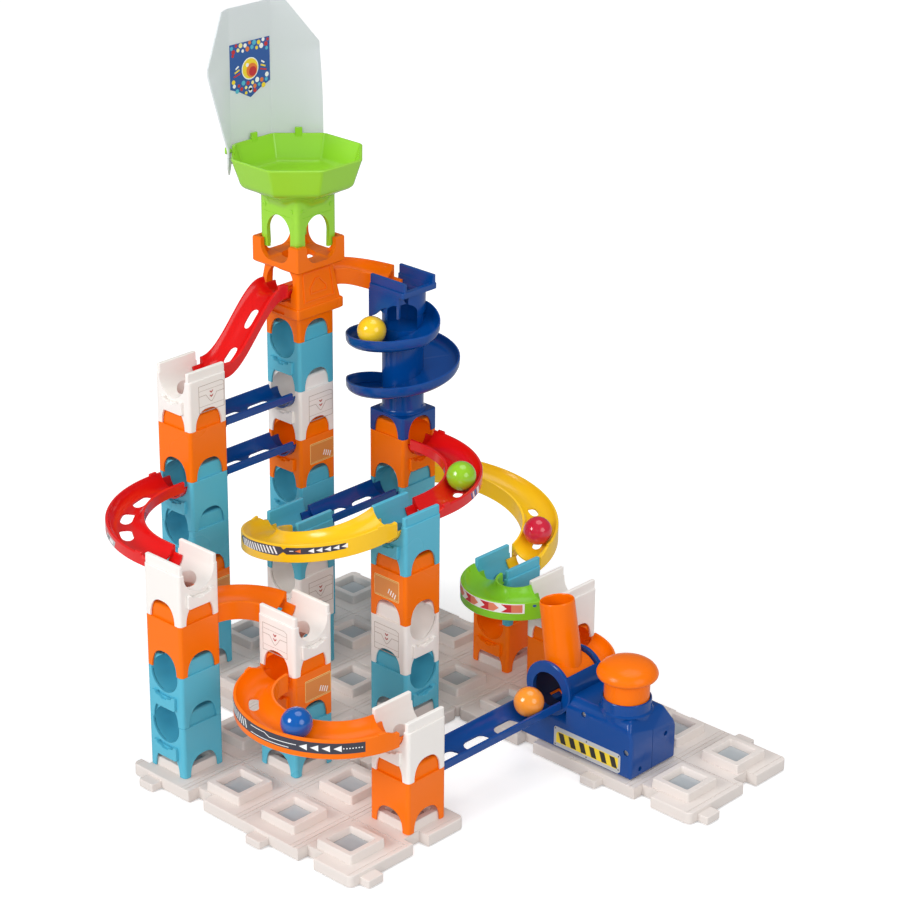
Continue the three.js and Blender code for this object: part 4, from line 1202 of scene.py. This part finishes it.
def funnel_stud(x, z=21.5):
    """A small slotted round on the -Y face of the foot."""
    stud = rod("y", 1.5, -18.9, -18.2, (x, z), n=20)
    cut(stud, box((x - 1.0, -19.2, z - .2), (x + 1.0, -18.7, z + .2)))
    return stud


dress(shift(funnel(), at_x(-2), at_y(4), foot_z(8)), "funnel_tray", LIME, "funnel")
for side, angle in (("front", 0), ("side", 90)):
    studs = turn(group([funnel_stud(-13.0), funnel_stud(13.0)]), angle)
    shift(studs, at_x(-2), at_y(4), foot_z(8))
    dress(clean(studs), "funnel_studs_" + side, LIME)

# ------------------------------------------------------------------ backboard
BOARD_AWAY = 44.9                            # middle panel from the tower's centre, on -X
BOARD_THICK = 1.0
BOARD_LOW, BOARD_HIGH = 330.0, 437.0         # over the base plate
BOARD_WING = 35.5                            # length of the bent sides
BOARD_FOLD = BOARD_AWAY * tan(pi / 8)        # half the middle panel


def board_point(along, z, out):
    """along is measured on the sheet from its middle; out is in thicknesses, outwards."""
    reach = abs(along)
    side = copysign(1, along)
    lean = radians(45 - 20 * clamp01((z - 350) / 50))
    past = max(reach - BOARD_FOLD, 0.0)
    bent = clamp01((reach - BOARD_FOLD + 1.5) / 3.0)
    out_x, out_y = 1 + (cos(lean) - 1) * bent, sin(lean) * bent
    thick = out * BOARD_THICK
    return (-BOARD_AWAY - thick * out_x + past * sin(lean),
            side * (min(reach, BOARD_FOLD) + past * cos(lean) + thick * out_y), z)


def board():
    across, up = 40, 44    # steps in the grid
    verts, faces, index = [], [], {}
    for side in (0, 1):
        for j in range(up + 1):
            z = BOARD_LOW + (BOARD_HIGH - BOARD_LOW) * (j / up)
            wing = min(BOARD_WING - max(0, (z - 405) * 0.78), 24 + (z - BOARD_LOW) * 1.4)
            end = BOARD_FOLD + wing
            for i in range(across + 1):
                u = -1 + 2 * i / across
                share = abs(u)
                if share <= 0.4:
                    along = share / 0.4 * BOARD_FOLD
                else:
                    along = BOARD_FOLD + (share - 0.4) / 0.6 * (end - BOARD_FOLD)
                index[side, i, j] = len(verts)
                verts.append(board_point(copysign(along, u), z, side))

    def face(*corners):
        faces.append(tuple(index[corner] for corner in corners))

    for j in range(up):
        for i in range(across):
            face((1, i, j), (1, i, j + 1), (1, i + 1, j + 1), (1, i + 1, j))
            face((0, i, j), (0, i + 1, j), (0, i + 1, j + 1), (0, i, j + 1))
    for i in range(across):
        face((0, i, 0), (1, i, 0), (1, i + 1, 0), (0, i + 1, 0))
        face((0, i, up), (0, i + 1, up), (1, i + 1, up), (1, i, up))
    for j in range(up):
        face((0, 0, j), (0, 0, j + 1), (1, 0, j + 1), (1, 0, j))
        face((0, across, j), (1, across, j), (1, across, j + 1), (0, across, j + 1))
    sheet = shift(solid(verts, faces), at_x(-2), at_y(4), PLATE)
    shade(sheet.data, 28)
    return sheet


dress(board(), "backboard_sheet", FROST, "backboard", weighted=False)

# ------------------------------------------------------------------ spiral tower
CORE, RIM = 14.5, 39.5                 # radii of the column and of the spiral
SPIRAL_TOP, TOP_ANGLE = 212.5, -98     # the spiral floor is at this height at this angle
SPIRAL_DROP = 34                       # fall in one turn
SPIRAL_START, SPIRAL_END = 60, -610    # degrees
DOOR_ANGLE = -4                        # the door stands on the floor's height here


def spiral_floor(angle):
    return SPIRAL_TOP + ((angle - TOP_ANGLE) / 360) * SPIRAL_DROP


def spiral_ramp():
    steps, inner = 230, CORE - 1.5
    rings = []
    for i in range(steps + 1):
        angle = SPIRAL_END + (SPIRAL_START - SPIRAL_END) * i / steps
        share = max(0.0, min(1.0, (SPIRAL_START - angle) / 80, (angle - SPIRAL_END) / 105))
        wide = CORE + 1.6 + (RIM - CORE - 1.6) * share
        k = clamp01((wide - CORE - 1.6) / 12)
        wall = 7.0 + 3.0 * smooth01(clamp01((angle - 5) / 50))
        # (radius, height over the floor): under the floor, up the wall and back inside
        profile = [
            (inner, -2.2), (wide - 5.5 * k - 0.6, -2.5), (wide - 3.2 * k - 0.3, -1.9),
            (wide - 1.2 * k - 0.1, -0.2), (wide - 0.25 * k, 1.8), (wide, 4.6),
            (wide, wall - 0.5), (wide - 0.45, wall), (wide - 1.05, wall),
            (wide - 1.45, wall - 0.5), (wide - 1.55, 4.6), (wide - 1.5 - 0.5 * k, 2.4),
            (wide - 1.5 - 1.6 * k, 1.0), (wide - 1.5 - 3.2 * k, 0.3), (inner, 0.0)]
        side, ahead, z = cos(radians(angle)), sin(radians(angle)), spiral_floor(angle)
        rings.append([(max(radius, inner) * side, max(radius, inner) * ahead, z + up)
                      for radius, up in profile])
    return loft(rings)


def spiral_tray():
    """The top: a thin plate with two walls, and a skirt under its front."""
    tray = slab(BLOCK, 2.0, 247.6, 251.7, top=0.5, foot=0.4, n=6)
    for side in (-1, 1):
        join(tray, slab(BLOCK - 0.6, 0.8, 251.0, 258.0, top=0.5, depth=2.6,
                        at=(0, side * 14.0)))
    join(tray, slab(17.0, 1.2, 233, 248, depth=29.2, at=(-8.2, 0), foot=0.4))
    join(tray, rod("z", 15.6, 232.5, 248, n=56))
    skirt = [(-HALF + .1, 248.2), (-HALF + .1, 227.7), (-HALF + .6, 227.2), (-15.2, 227.5),
             (-12.5, 228.9), (-9, 231.6), (-5.6, 234.6), (-2.5, 236.6), (0, 237.6), (2, 238),
             (2, 232.6), (2.6, 232), (11.4, 232), (12, 232.6), (12, 248.2)]
    join(tray, prism("y", skirt, -HALF + 0.2, -HALF + 2.4))
    join(tray, slab(9.8, 0.8, 232.3, 248, depth=8.6, at=(7.0, -HALF + 4.6), foot=0.4))
    cut(tray, prism("x", trough(12.4, 250, 280), -20, 13.2))
    cut(tray, box((10, -12.4, 251.8), (20, 12.4, 262)))
    return clean(tray, bevel=0.3)


def spiral():
    body = slab(BLOCK, 2.4, 144, 160, top=0.8, foot=0.5, n=6)
    cut(body, slab(30.7, 1.6, 140, 154))
    arch_cut(body, z=144)
    clean(body, bevel=0.4)
    join(body, turned("z", ((158, 16.2), (160.6, 16.0), (161.8, 14.8), (163.2, CORE),
                            (236, CORE))))
    join(body, spiral_ramp())
    join(body, spiral_tray())
    # bore down the column and an arched door out of it
    sill = spiral_floor(DOOR_ANGLE)
    cut(body, rod("z", 10.9, sill, 252, n=56))
    door = [(-10.2, 0), (10.2, 0)] + curve(10.2, 0, pi, 12, (0, 14.0), rise=6.6)
    cut(body, turn(prism("x", [(y, z + sill) for y, z in door], 0, 19), -48))
    return clean(body, smooth=40)


dress(shift(spiral(), at_x(-1), at_y(5), PLATE), "spiral_tower_body", BLUE, "spiral_tower")

# ------------------------------------------------------------------ launcher
DRUM_X, DRUM_Z = at_x(3), PLATE + 40.5
DRUM = (DRUM_X, DRUM_Z)
DRUM_MIDDLE = (DRUM_FRONT + DRUM_BACK) / 2
BUTTON_X, BUTTON_Y = at_x(4.05), at_y(3.94)
FOOT = PLATE + 0.3
LAUNCHER_FRONT = at_y(3.6)
# (x, z, hole radius, head radius) of the front screws
SCREWS = ((at_x(4.346), 27.0, 2.1, 1.8), (at_x(3.62), 41.0, 1.9, 1.6))


def over_foot(points):
    return [(u, FOOT + z) for u, z in points]


def launcher_body():
    front, back, left, right = LAUNCHER_FRONT, at_y(4.5), at_x(2.52), at_x(4.44)
    body = prism("x", over_foot([
        (front, 0), (back, 0), (back, 24), (back - 1.2, 27), (back - 8, 39.6),
        (back - 10.5, 40.5), (front + 6, 40.5), (front + 3, 39.4), (front, 34)]),
        at_x(3.3), right)
    cut(body, prism("y", over_foot([
        (right + 1, 26), (right + 1, 60), (right - 8, 60), (right - 5, 41)]),
        front - 1, back + 1))
    low = prism("x", over_foot([
        (front, 0), (back, 0), (back, 21), (back - 4, 26), (front + 4, 26), (front, 21)]),
        left, at_x(3.4))
    clean(body, bevel=2.2, segments=4, angle=24)
    clean(low, bevel=1.6, segments=3, angle=24)
    join(body, low)
    for column in (3, 4):    # room for the bosses of the base plate
        x, y = at_x(column), at_y(4)
        cut(body, box((x - 15.6, y - 15.6, 0), (x + 15.6, y + 15.6, PLATE + 6.8)))
    # drum housing with a collar at each end
    join(body, rod("y", 18, DRUM_FRONT, DRUM_BACK, DRUM, n=72))
    for y0, y1 in ((DRUM_FRONT, DRUM_FRONT + 3), (DRUM_BACK - 3, DRUM_BACK)):
        join(body, turned("y", ((y0, 18.2), (y0 + .5, 18.8), (y0 + 1, 18.9), (y1 - 1, 18.9),
                                (y1 - .5, 18.8), (y1, 18.2)), DRUM, 72))
    # round seat of the button
    button_at = (BUTTON_X, BUTTON_Y)
    join(body, turned("z", [(FOOT + z, radius) for z, radius in (
        (30, 16.4), (40.2, 16.4), (40.6, 17.8), (41.2, 17.2), (42.0, 16.5), (48.4, 16.3),
        (48.9, 15.9))], button_at))
    # the drum's hollow, open at the top, and its round ends
    cut(body, rod("y", 16.6, DRUM_FRONT + 3, DRUM_BACK - 3, DRUM, n=64))
    cut(body, box((DRUM_X - 20, DRUM_FRONT + 3, DRUM_Z),
                  (DRUM_X + 13.6, DRUM_BACK - 3, DRUM_Z + 30)))
    cut(body, box((DRUM_X - 16, DRUM_BACK, groove_z(0) - 9.3), (DRUM_X + 13.9, 200, 80)))
    cut(body, rod("y", 12.6, DRUM_FRONT - 1, DRUM_FRONT + 4, (DRUM_X, DRUM_Z - 1)))
    cut(body, rod("y", 12.6, DRUM_BACK - 4, DRUM_BACK + 1, DRUM))
    # the button's well and the rocker's passage to the drum
    cut(body, rod("z", 15.3, FOOT + 24, FOOT + 60, button_at, n=56))
    cut(body, box((DRUM_X - 5, BUTTON_Y - 6.5, FOOT + 8.4),
                  (BUTTON_X + 15, BUTTON_Y + 6.5, FOOT + 25)))
    cut(body, box((DRUM_X - 6, BUTTON_Y - 6.5, FOOT + 8.4),
                  (DRUM_X + 8, BUTTON_Y + 6.5, DRUM_Z - 10)))
    # parting line on the +X side, then screw holes in the front and in that side
    cut(body, box((right - .5, at_y(4.02) - .2, FOOT), (right + 1, at_y(4.02) + .2, FOOT + 44)))
    for x, z, radius, _ in SCREWS:
        cut(body, rod("y", radius, front - 1, front + 2.2, (x, z), n=28))
    for y, z in ((at_y(4.28), 30.0), (at_y(3.78), 14.0)):
        cut(body, rod("x", 1.7, right - 1.6, right + 1, (y, z), n=24))
    return clean(body, smooth=30)


def cross_screw(x, z, radius):
    y = LAUNCHER_FRONT
    head = rod("y", radius, y + .9, y + 2.0, (x, z), n=24)
    for half_x, half_z in ((1.1, .22), (.22, 1.1)):
        cut(head, box((x - half_x, y + .5, z - half_z), (x + half_x, y + 1.3, z + half_z)))
    return head


def button():
    profile = [
        (0, 54.0), (12.6, 54.0), (12.6, 34.0), (14.4, 34.0), (14.8, 34.6), (14.8, 63.6),
        (15.4, 63.0), (17.0, 62.6), (18.4, 62.8), (19.2, 63.3), (19.8, 64.2), (20.0, 65.2),
        (19.85, 66.1), (19.1, 67.9), (17.6, 69.8), (15.5, 71.3), (12.5, 72.7), (9, 73.6),
        (5, 74.2), (0, 74.4)]
    cap = shift(lathe(profile, n=88), BUTTON_X, BUTTON_Y, FOOT)
    join(cap, rod("z", 3, FOOT + 25.6, FOOT + 56, (BUTTON_X - 8, BUTTON_Y), n=24))
    return clean(cap, smooth=40)


def lean(ob):
    """Tips an upright piece by the barrel's angle and sets it on the drum's centre."""
    ob.data.transform(Matrix.Rotation(radians(-9.7), 4, "Y"))
    return shift(ob, DRUM_X, DRUM_MIDDLE, DRUM_Z)


def rocker_gap():
    return box((DRUM_X - 9, BUTTON_Y - 5, DRUM_Z - 20), (DRUM_X + 9, BUTTON_Y + 5, DRUM_Z - 8))


def tube():
    barrel = lean(lathe([
        (0, 8.0), (12.2, 8.0), (12.15, 14), (11.62, 54.6), (11.5, 55.4), (11.1, 55.9),
        (10.7, 55.95), (0, 55.95)], n=72))
    join(barrel, turned("y", ((DRUM_FRONT + 3.5, 15.6), (DRUM_FRONT + 4.1, 16.2),
                              (DRUM_BACK - 4.1, 16.2), (DRUM_BACK - 3.5, 15.6)), DRUM, 72))
    cut(barrel, rod("y", 14.8, DRUM_FRONT, DRUM_BACK, DRUM, n=64))
    cut(barrel, lean(turned("z", ((-2, 10.7), (54.6, 10.4), (55.6, 10.9), (56.6, 11.5),
                                  (70, 11.5)))))
    cut(barrel, rocker_gap())
    return clean(barrel, bevel=0.3, angle=44)


# painted shadow: a dark sleeve inside the drum, not a part of the toy, that stands in for the
# shade seen in the tube's bore
def painted_bore_shadow():
    front, back = DRUM_FRONT + 3.7, DRUM_BACK - 3.7
    sleeve = turned("y", ((front, 14.6), (back, 14.6), (back, 13.9), (front, 13.9)), DRUM,
                    loop=True)
    cut(sleeve, lean(rod("z", 10.8, 2, 40, n=64)))
    cut(sleeve, rocker_gap())
    return clean(sleeve, smooth=34)


def spring(low, high):
    """A coil that fills the box from low to high, with closer turns at its ends."""
    wire, turns, steps = 0.55, 7.0, 230
    x, y = (low.x + high.x) / 2, (low.y + high.y) / 2
    radius = (high.x - low.x) / 2 - wire
    rings = []
    for i in range(steps + 1):
        t = i / steps
        angle = 2 * pi * turns * t
        rise = smooth01(clamp01((t - .08) / .84)) * .35 + t * .65
        z = low.z + wire + (high.z - low.z - 2 * wire) * rise
        rings.append([(x + (radius + out) * cos(angle), y + (radius + out) * sin(angle), z + up)
                      for out, up in circle(wire, 10)])
    return clean(loft(rings), smooth=60)


def rocker():
    pivot = (DRUM_X + BUTTON_X - 8) / 2 + 2
    arm = prism("y", over_foot([
        (DRUM_X - 4, 12.2), (DRUM_X + 2, 12.2), (pivot, 16.5), (BUTTON_X - 5, 21.4),
        (BUTTON_X - 5, 24.6), (pivot, 21.5), (DRUM_X + 2, 16.8), (DRUM_X - 4, 15.6)]),
        BUTTON_Y - 4, BUTTON_Y + 4)
    clean(arm, bevel=0.6, angle=24)
    join(arm, rod("y", 2.4, BUTTON_Y - 5.6, BUTTON_Y + 5.6, (pivot, FOOT + 18.5), n=32))
    return clean(arm, smooth=34)


dress(launcher_body(), "launcher_shell", BLUE, "launcher_body")
heads = group([cross_screw(x, z, radius) for x, z, _, radius in SCREWS])
dress(clean(heads), "launcher_screws", STEEL)
dress(button(), "button_cap", ORANGE, "launcher_button", body="push_button")
dress(tube(), "launch_tube_shell", ORANGE, "launcher_tube", body="launch_tube")
# painted shadow: the dark sleeve inside the drum
dress(painted_bore_shadow(), "launch_tube_painted_shadow", BORE_SHADOW, body="launch_tube")
spring_low, spring_high = [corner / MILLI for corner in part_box("launcher_spring")]
coil = dress(spring(spring_low, spring_high), "launcher_spring_coil", STEEL, "launcher_spring",
             weighted=False)
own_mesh(coil)
dress(rocker(), "lift_rocker_arm", WHITE, "launcher_rocker", body="lift_rocker")

# ------------------------------------------------------------------ marbles
# colour, RGB, centre of the bend (x, y), its radii along X and Y, angle on it, z
MARBLES = (
    ("blue", (2, 88, 172), at_x(2), at_y(1 - HALF_CELL), PITCH, U_DEPTH, -72,
     groove_z(1) + 8.4 + REST),
    ("green", (150, 206, 40), at_x(-1 + HALF_CELL), at_y(5 - BIG_TURN / PITCH),
     BIG_TURN + STRAIGHT * 0.39, BIG_TURN + STRAIGHT * 0.39, 32.5, groove_z(3) + 5.8 + REST),
    ("red", (214, 34, 62), at_x(0), at_y(5 + HALF_CELL), PITCH, U_DEPTH, 24,
     groove_z(2) + 11 - (LEVEL + 1) * (156 / 180) + REST + 0.3),
    ("yellow", (252, 206, 40), at_x(-1), at_y(5), 26.8, 26.8, TOP_ANGLE,
     PLATE + SPIRAL_TOP + 10.4),
    ("orange", (252, 150, 44), at_x(3), at_y(3.24), 0, 0, 0, groove_z(0) + RAIL_UP + REST),
)
for colour, rgb, x, y, radius_x, radius_y, angle, z in MARBLES:
    name = colour + "_marble"
    mesh = bpy.data.meshes.new(name)
    with editing(mesh) as edit:
        bmesh.ops.create_icosphere(edit, subdivisions=5, radius=10.0 * MILLI)
    mesh.shade_smooth()
    ball = shift(link(name, mesh), x + radius_x * cos(radians(angle)),
                 y + radius_y * sin(radians(angle)), z)
    look = plastic(name + "_look", rgb, rough=0.12, coat=0.8, wave=0.05, grain=0.01,
                   drift=0.08, specular=0.5)
    dress(ball, name + "_ball", look, "marble_" + colour, body=name, weighted=False)


# ------------------------------------------------------------------ labels on the tracks
def slant(u, v0, v1, width, lean):
    return [(u, v0), (u + width, v0), (u + width + lean, v1), (u + lean, v1)]


def track_label(name, shapes, side=1):
    """On the outside wall: u along the path, v over the groove axis."""
    (length, point), height = tracks["track_" + name]

    def place(u, v, out):
        x, y, nx, ny = point(u)
        reach = side * (TRACK_HALF + out)
        return (x + nx * reach, y + ny * reach, height(u / length) + v)
    decal("label_" + name, shapes, place, step=2.0)


# orange front: a dark strip; the path starts at its +X end
shapes = [([(22, -5.0), (112, -3.8), (112, -10.0), (106, -11.4), (60, -12.0), (22, -12.0)],
           "charcoal", 0)]
shapes += [(slant(87.5 + i * 2.6, -10.4, -4.9, 0.9, 1.5), "white", 2) for i in range(9)]
shapes += [(stroke(start, end, 0.45), "white", 2) for start, end in (
    ((84, -6.0), (74, -6.0)), ((74, -6.0), (71, -8.0)), ((71, -8.0), (56, -8.0)),
    ((84, -10.6), (60, -10.8)))]
shapes += [([(u + 2.4, -8.4), (u - 1.6, -6.3), (u - 1.6, -10.5)], "white", 2)
           for u in [52 - i * 5.6 for i in range(4)]]
shapes += [(disc(32.6 - i * 1.5, -8.4, 0.4, 10), "white", 2) for i in range(7)]
track_label("orange_front", shapes)

# yellow left: two dark fields with stripes and arrowheads
shapes = [([(103, -3.9), (106, -6.2), (102, -9.4), (69, -11.0), (64.5, -7.4), (67, -4.6),
            (80, -3.9)], "charcoal", 0)]
shapes += [(slant(69.0 + i * 2.45, -9.9, -4.8, 1.15, 2.2), "white", 2) for i in range(13)]
shapes.append(([(32, -5.6), (63.5, -5.0), (66.5, -7.4), (63.5, -9.8), (32, -9.6)],
               "charcoal", 0))
shapes += [([(u + 2.0, -7.6), (u - 1.3, -6.0), (u - 1.3, -9.2)], "white", 2)
           for u in [49.5 - i * 4.3 for i in range(5)]]
shapes.append(([(58.6, -7.5), (55.4, -6.3), (55.4, -8.7)], "orange", 2))
shapes.append((stroke((61.6, -7.4), (59.6, -7.4), 0.5), "white", 2))
track_label("yellow_left", shapes)

# green: red and salmon arrow blocks on white, and three blue dots
shapes = [([(21, -3.5), (64, -3.5), (64, -10.6), (21, -9.8)], "white", 0)]
for i in range(4):
    start = 21.6 + i * 10.6
    middle, end = start + 4.6, min(start + 9.6, 63.4)
    shapes.append(([(start + (2.6 if i else 0), -7.0), (start, -4.1), (middle, -4.1),
                    (middle, -9.8), (start, -9.8)], "red", 2))
    if i < 3:
        tip = [(end - 2.6, -4.1), (end, -7.0), (end - 2.6, -9.8)]
    else:
        tip = [(end, -4.1), (end, -9.8)]
    shapes.append(([(middle, -4.1)] + tip + [(middle, -9.8)], "salmon", 2))
shapes += [(disc(u, v, 0.9), "blue", 0) for u, v in ((17.6, -5.0), (14.6, -7.4), (68.6, -5.6))]
track_label("green", shapes, side=-1)

track_label("red_right", [(slant(u, -9.6, -4.8, width, 1.6), ink, 0) for u, width, ink in (
    (88, 3.6, "white"), (92.6, 3.0, "blue"), (96.4, 1.6, "white"), (98.8, 1.4, "blue"))])
track_label("red_left", [
    (slant(86, -9.8, -5.4, 15.0, 1.6), "grey", 0),
    (slant(88.6, -8.8, -6.4, 1.2, 1.0), "charcoal", 2),
    (slant(91.0, -8.8, -6.4, 1.2, 1.0), "charcoal", 2),
    (slant(93.4, -8.8, -6.4, 5.2, 0.8), "white", 2)], side=-1)


# ------------------------------------------------------------------ pennant on the board
def board_map(u, v, out):
    x, y, z = board_point(-u, v, -out / BOARD_THICK)
    return (x + at_x(-2), y + at_y(4), z + PLATE)


def pennant():
    """A blue banner with coloured dots round a ball."""
    side, low, high = 18.2, 373.0, 412.0
    shapes = [([(-side, high), (side, high), (side, low + 8.5), (side - 9, low + 5.0), (0, low),
                (-side + 9, low + 5.0), (-side, low + 8.5)], "blue", 0)]
    inks = ("red", "white", "yellow", "cyan", "orange", "white", "cream", "red", "cyan")
    # rows of dots: v, count, half the row's width
    rows = ((high - 1.9, 9, 16.4), (high - 5.3, 8, 14.8), (high - 8.4, 4, 15.4),
            (low + 13.0, 4, 15.2), (low + 10.4, 8, 14.6), (low + 7.0, 7, 12.0),
            (low + 4.3, 3, 4.0))
    k = 0
    for row, (v, count, reach) in enumerate(rows):
        for i in range(count):
            u = -reach + 2 * reach * i / (count - 1)
            if row in (2, 3) and abs(u) < 8:    # room for the ball
                continue
            radius = 1.15 + 0.65 * ((i * 37 + row * 53) % 7) / 6
            dot = disc(u, v + 0.7 * sin(i * 2.1 + row), radius, 18)
            shapes.append((dot, inks[k % 9], 2))
            k += 1
    shapes += [(disc(u, v, radius, n), ink, layer) for u, v, radius, n, ink, layer in (
        (0, 393.0, 7.6, 40, "white", 2), (0, 393.0, 6.9, 40, "yellow", 4),
        (-1.5, 391.6, 4.9, 32, "orange", 6), (-2.2, 390.8, 3.3, 28, "red", 8),
        (2.6, 395.8, 1.3, 18, "white", 8))]
    for way in (-1, 1):
        for j, ink in enumerate(("red", "yellow", "white")):
            shapes.append((stroke((way * (9.4 + j * 0.6), 391.0 + j * 2.6),
                                  (way * (14.6 - j * 0.9), 389.6 + j * 2.6), 1.1), ink, 3))
    decal("pennant", shapes, board_map, lift=0.12)


def launcher_plate():
    """A grey plate on the launcher's front, with black slants on yellow."""
    left = at_x(3.12)
    wide = at_x(4.26) - left
    shapes = [
        ([(0.6, 1.6), (wide - 2, 1.6), (wide, 3.4), (wide, 14.6), (wide - 1.6, 15.8),
          (1.6, 15.8), (0.6, 14.6)], "grey", 0),
        ([(2.6, 4.4), (wide - 3.4, 4.4), (wide - 1.8, 6.0), (wide - 1.8, 12.6), (4.2, 12.6),
          (2.6, 11.0)], "yellow", 2)]
    shapes += [([(u + 2.4, 4.9), (u + 6.8, 4.9), (u + 4.4, 12.1), (u, 12.1)], "black", 4)
               for u in [4.4 + i * 8.7 for i in range(6)]]
    shapes += [(disc(u, v, 0.55), "charcoal", 3) for u, v in (
        (1.8, 2.8), (1.8, 14.4), (wide - 1.4, 4.4), (wide - 1.4, 14.2), (wide / 2, 14.3),
        (wide / 2, 2.9))]
    decal("launcher_plate", shapes,
          lambda u, v, out: (left + u, LAUNCHER_FRONT - out, FOOT + v))


pennant()
launcher_plate()

# ------------------------------------------------------------------ camera, world, floor, lights
camera_data = bpy.data.cameras.new("camera")
camera = link("camera", camera_data)
camera.matrix_world = Matrix((    # columns: right, up, backwards, place
    (0.7258, -0.27767, 0.62938, 1.1759),
    (0.68786, 0.28277, -0.66849, -1.1564),
    (0.00765, 0.91812, 0.39624, 0.90833),
    (0, 0, 0, 1)))
camera_data.shift_x = 0.001
camera_data.sensor_width = 36.0
camera_data.lens = 111.56
camera_data.clip_start = 0.05
camera_data.clip_end = 20
scene.camera = camera

try:
    scene.view_settings.view_transform = "Standard"
except TypeError:    # a colour configuration without this transform
    pass


def studio_world():
    """White to the camera, dim in reflections and medium for all other light."""
    world = bpy.data.worlds.new("studio")
    scene.world = world
    world.use_nodes = True
    tree = world.node_tree
    tree.nodes.clear()
    rays = add(tree, "LightPath").outputs

    def background(colour, strength):
        return add(tree, "Background", {"Color": colour, "Strength": strength}).outputs[0]

    seen = background((1, 1, 1, 1), 1.0)
    other = background((0.97, 0.985, 1.0, 1), 0.50)
    glossy = background((0.95, 0.98, 1.0, 1), 0.16)
    unseen = add(tree, "MixShader", {0: rays["Is Glossy Ray"], 1: other, 2: glossy})
    mix = add(tree, "MixShader", {0: rays["Is Camera Ray"], 1: unseen.outputs[0], 2: seen})
    add(tree, "OutputWorld", {0: mix.outputs[0]})


def paper():
    """Floor paper, brighter to the camera than to the light that bounces off it."""
    material = bpy.data.materials.new("floor_paper")
    material.use_nodes = True
    tree = material.node_tree
    pale = (0.93, 0.93, 0.935, 1)
    fill(tree, principled(material), {
        "Base Color": pale, "Roughness": 0.7, "Emission Color": (1, 1, 1, 1)})
    seen = add(tree, "LightPath").outputs["Is Camera Ray"]
    glow = add(tree, "Math", {0: seen, 1: 0.34}, operation="MULTIPLY")
    noise = add(tree, "TexNoise", {"Scale": 60})
    bump = add(tree, "Bump", {"Strength": 0.03, "Height": noise.outputs["Fac"]})
    fill(tree, principled(material), {
        "Emission Strength": glow.outputs[0], "Normal": bump.outputs[0],
        "Base Color": mix_colour(tree, seen, (0.55, 0.55, 0.55, 1), pale)})
    return material


studio_world()
material = paper()
reach, z = 6, -0.0006
mesh = bpy.data.meshes.new("floor")
mesh.from_pydata([(-reach, -reach, z), (reach, -reach, z), (reach, reach, z),
                  (-reach, reach, z)], [], [(0, 1, 2, 3)])
mesh.materials.append(material)
link("floor", mesh)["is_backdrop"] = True

AIM = Vector((0.0, 0.0, 0.15))
for name, place, size, watts in (
        ("key", (-1.1, -4.1, 2.5), 2.2, 106), ("front", (2.4, -2.9, 1.75), 2.0, 45),
        ("fill", (3.9, -0.2, 1.9), 2.6, 34), ("top", (0.2, 0.8, 4.2), 3.0, 40)):
    lamp = bpy.data.lights.new(name, "AREA")
    lamp.shape = "DISK"
    lamp.size = size
    lamp.energy = watts
    light = link(name, lamp)
    light.location = place
    light.rotation_euler = (AIM - Vector(place)).to_track_quat("-Z", "Y").to_euler()
    light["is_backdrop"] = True
    if name == "front":
        light.visible_glossy = False

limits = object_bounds()
size = {"cad_low_m": CAD_BOX[0], "cad_high_m": CAD_BOX[1],
        "visual_low_m": [float(v) for v in limits[0]],
        "visual_high_m": [float(v) for v in limits[1]]}
json.dumps(size)
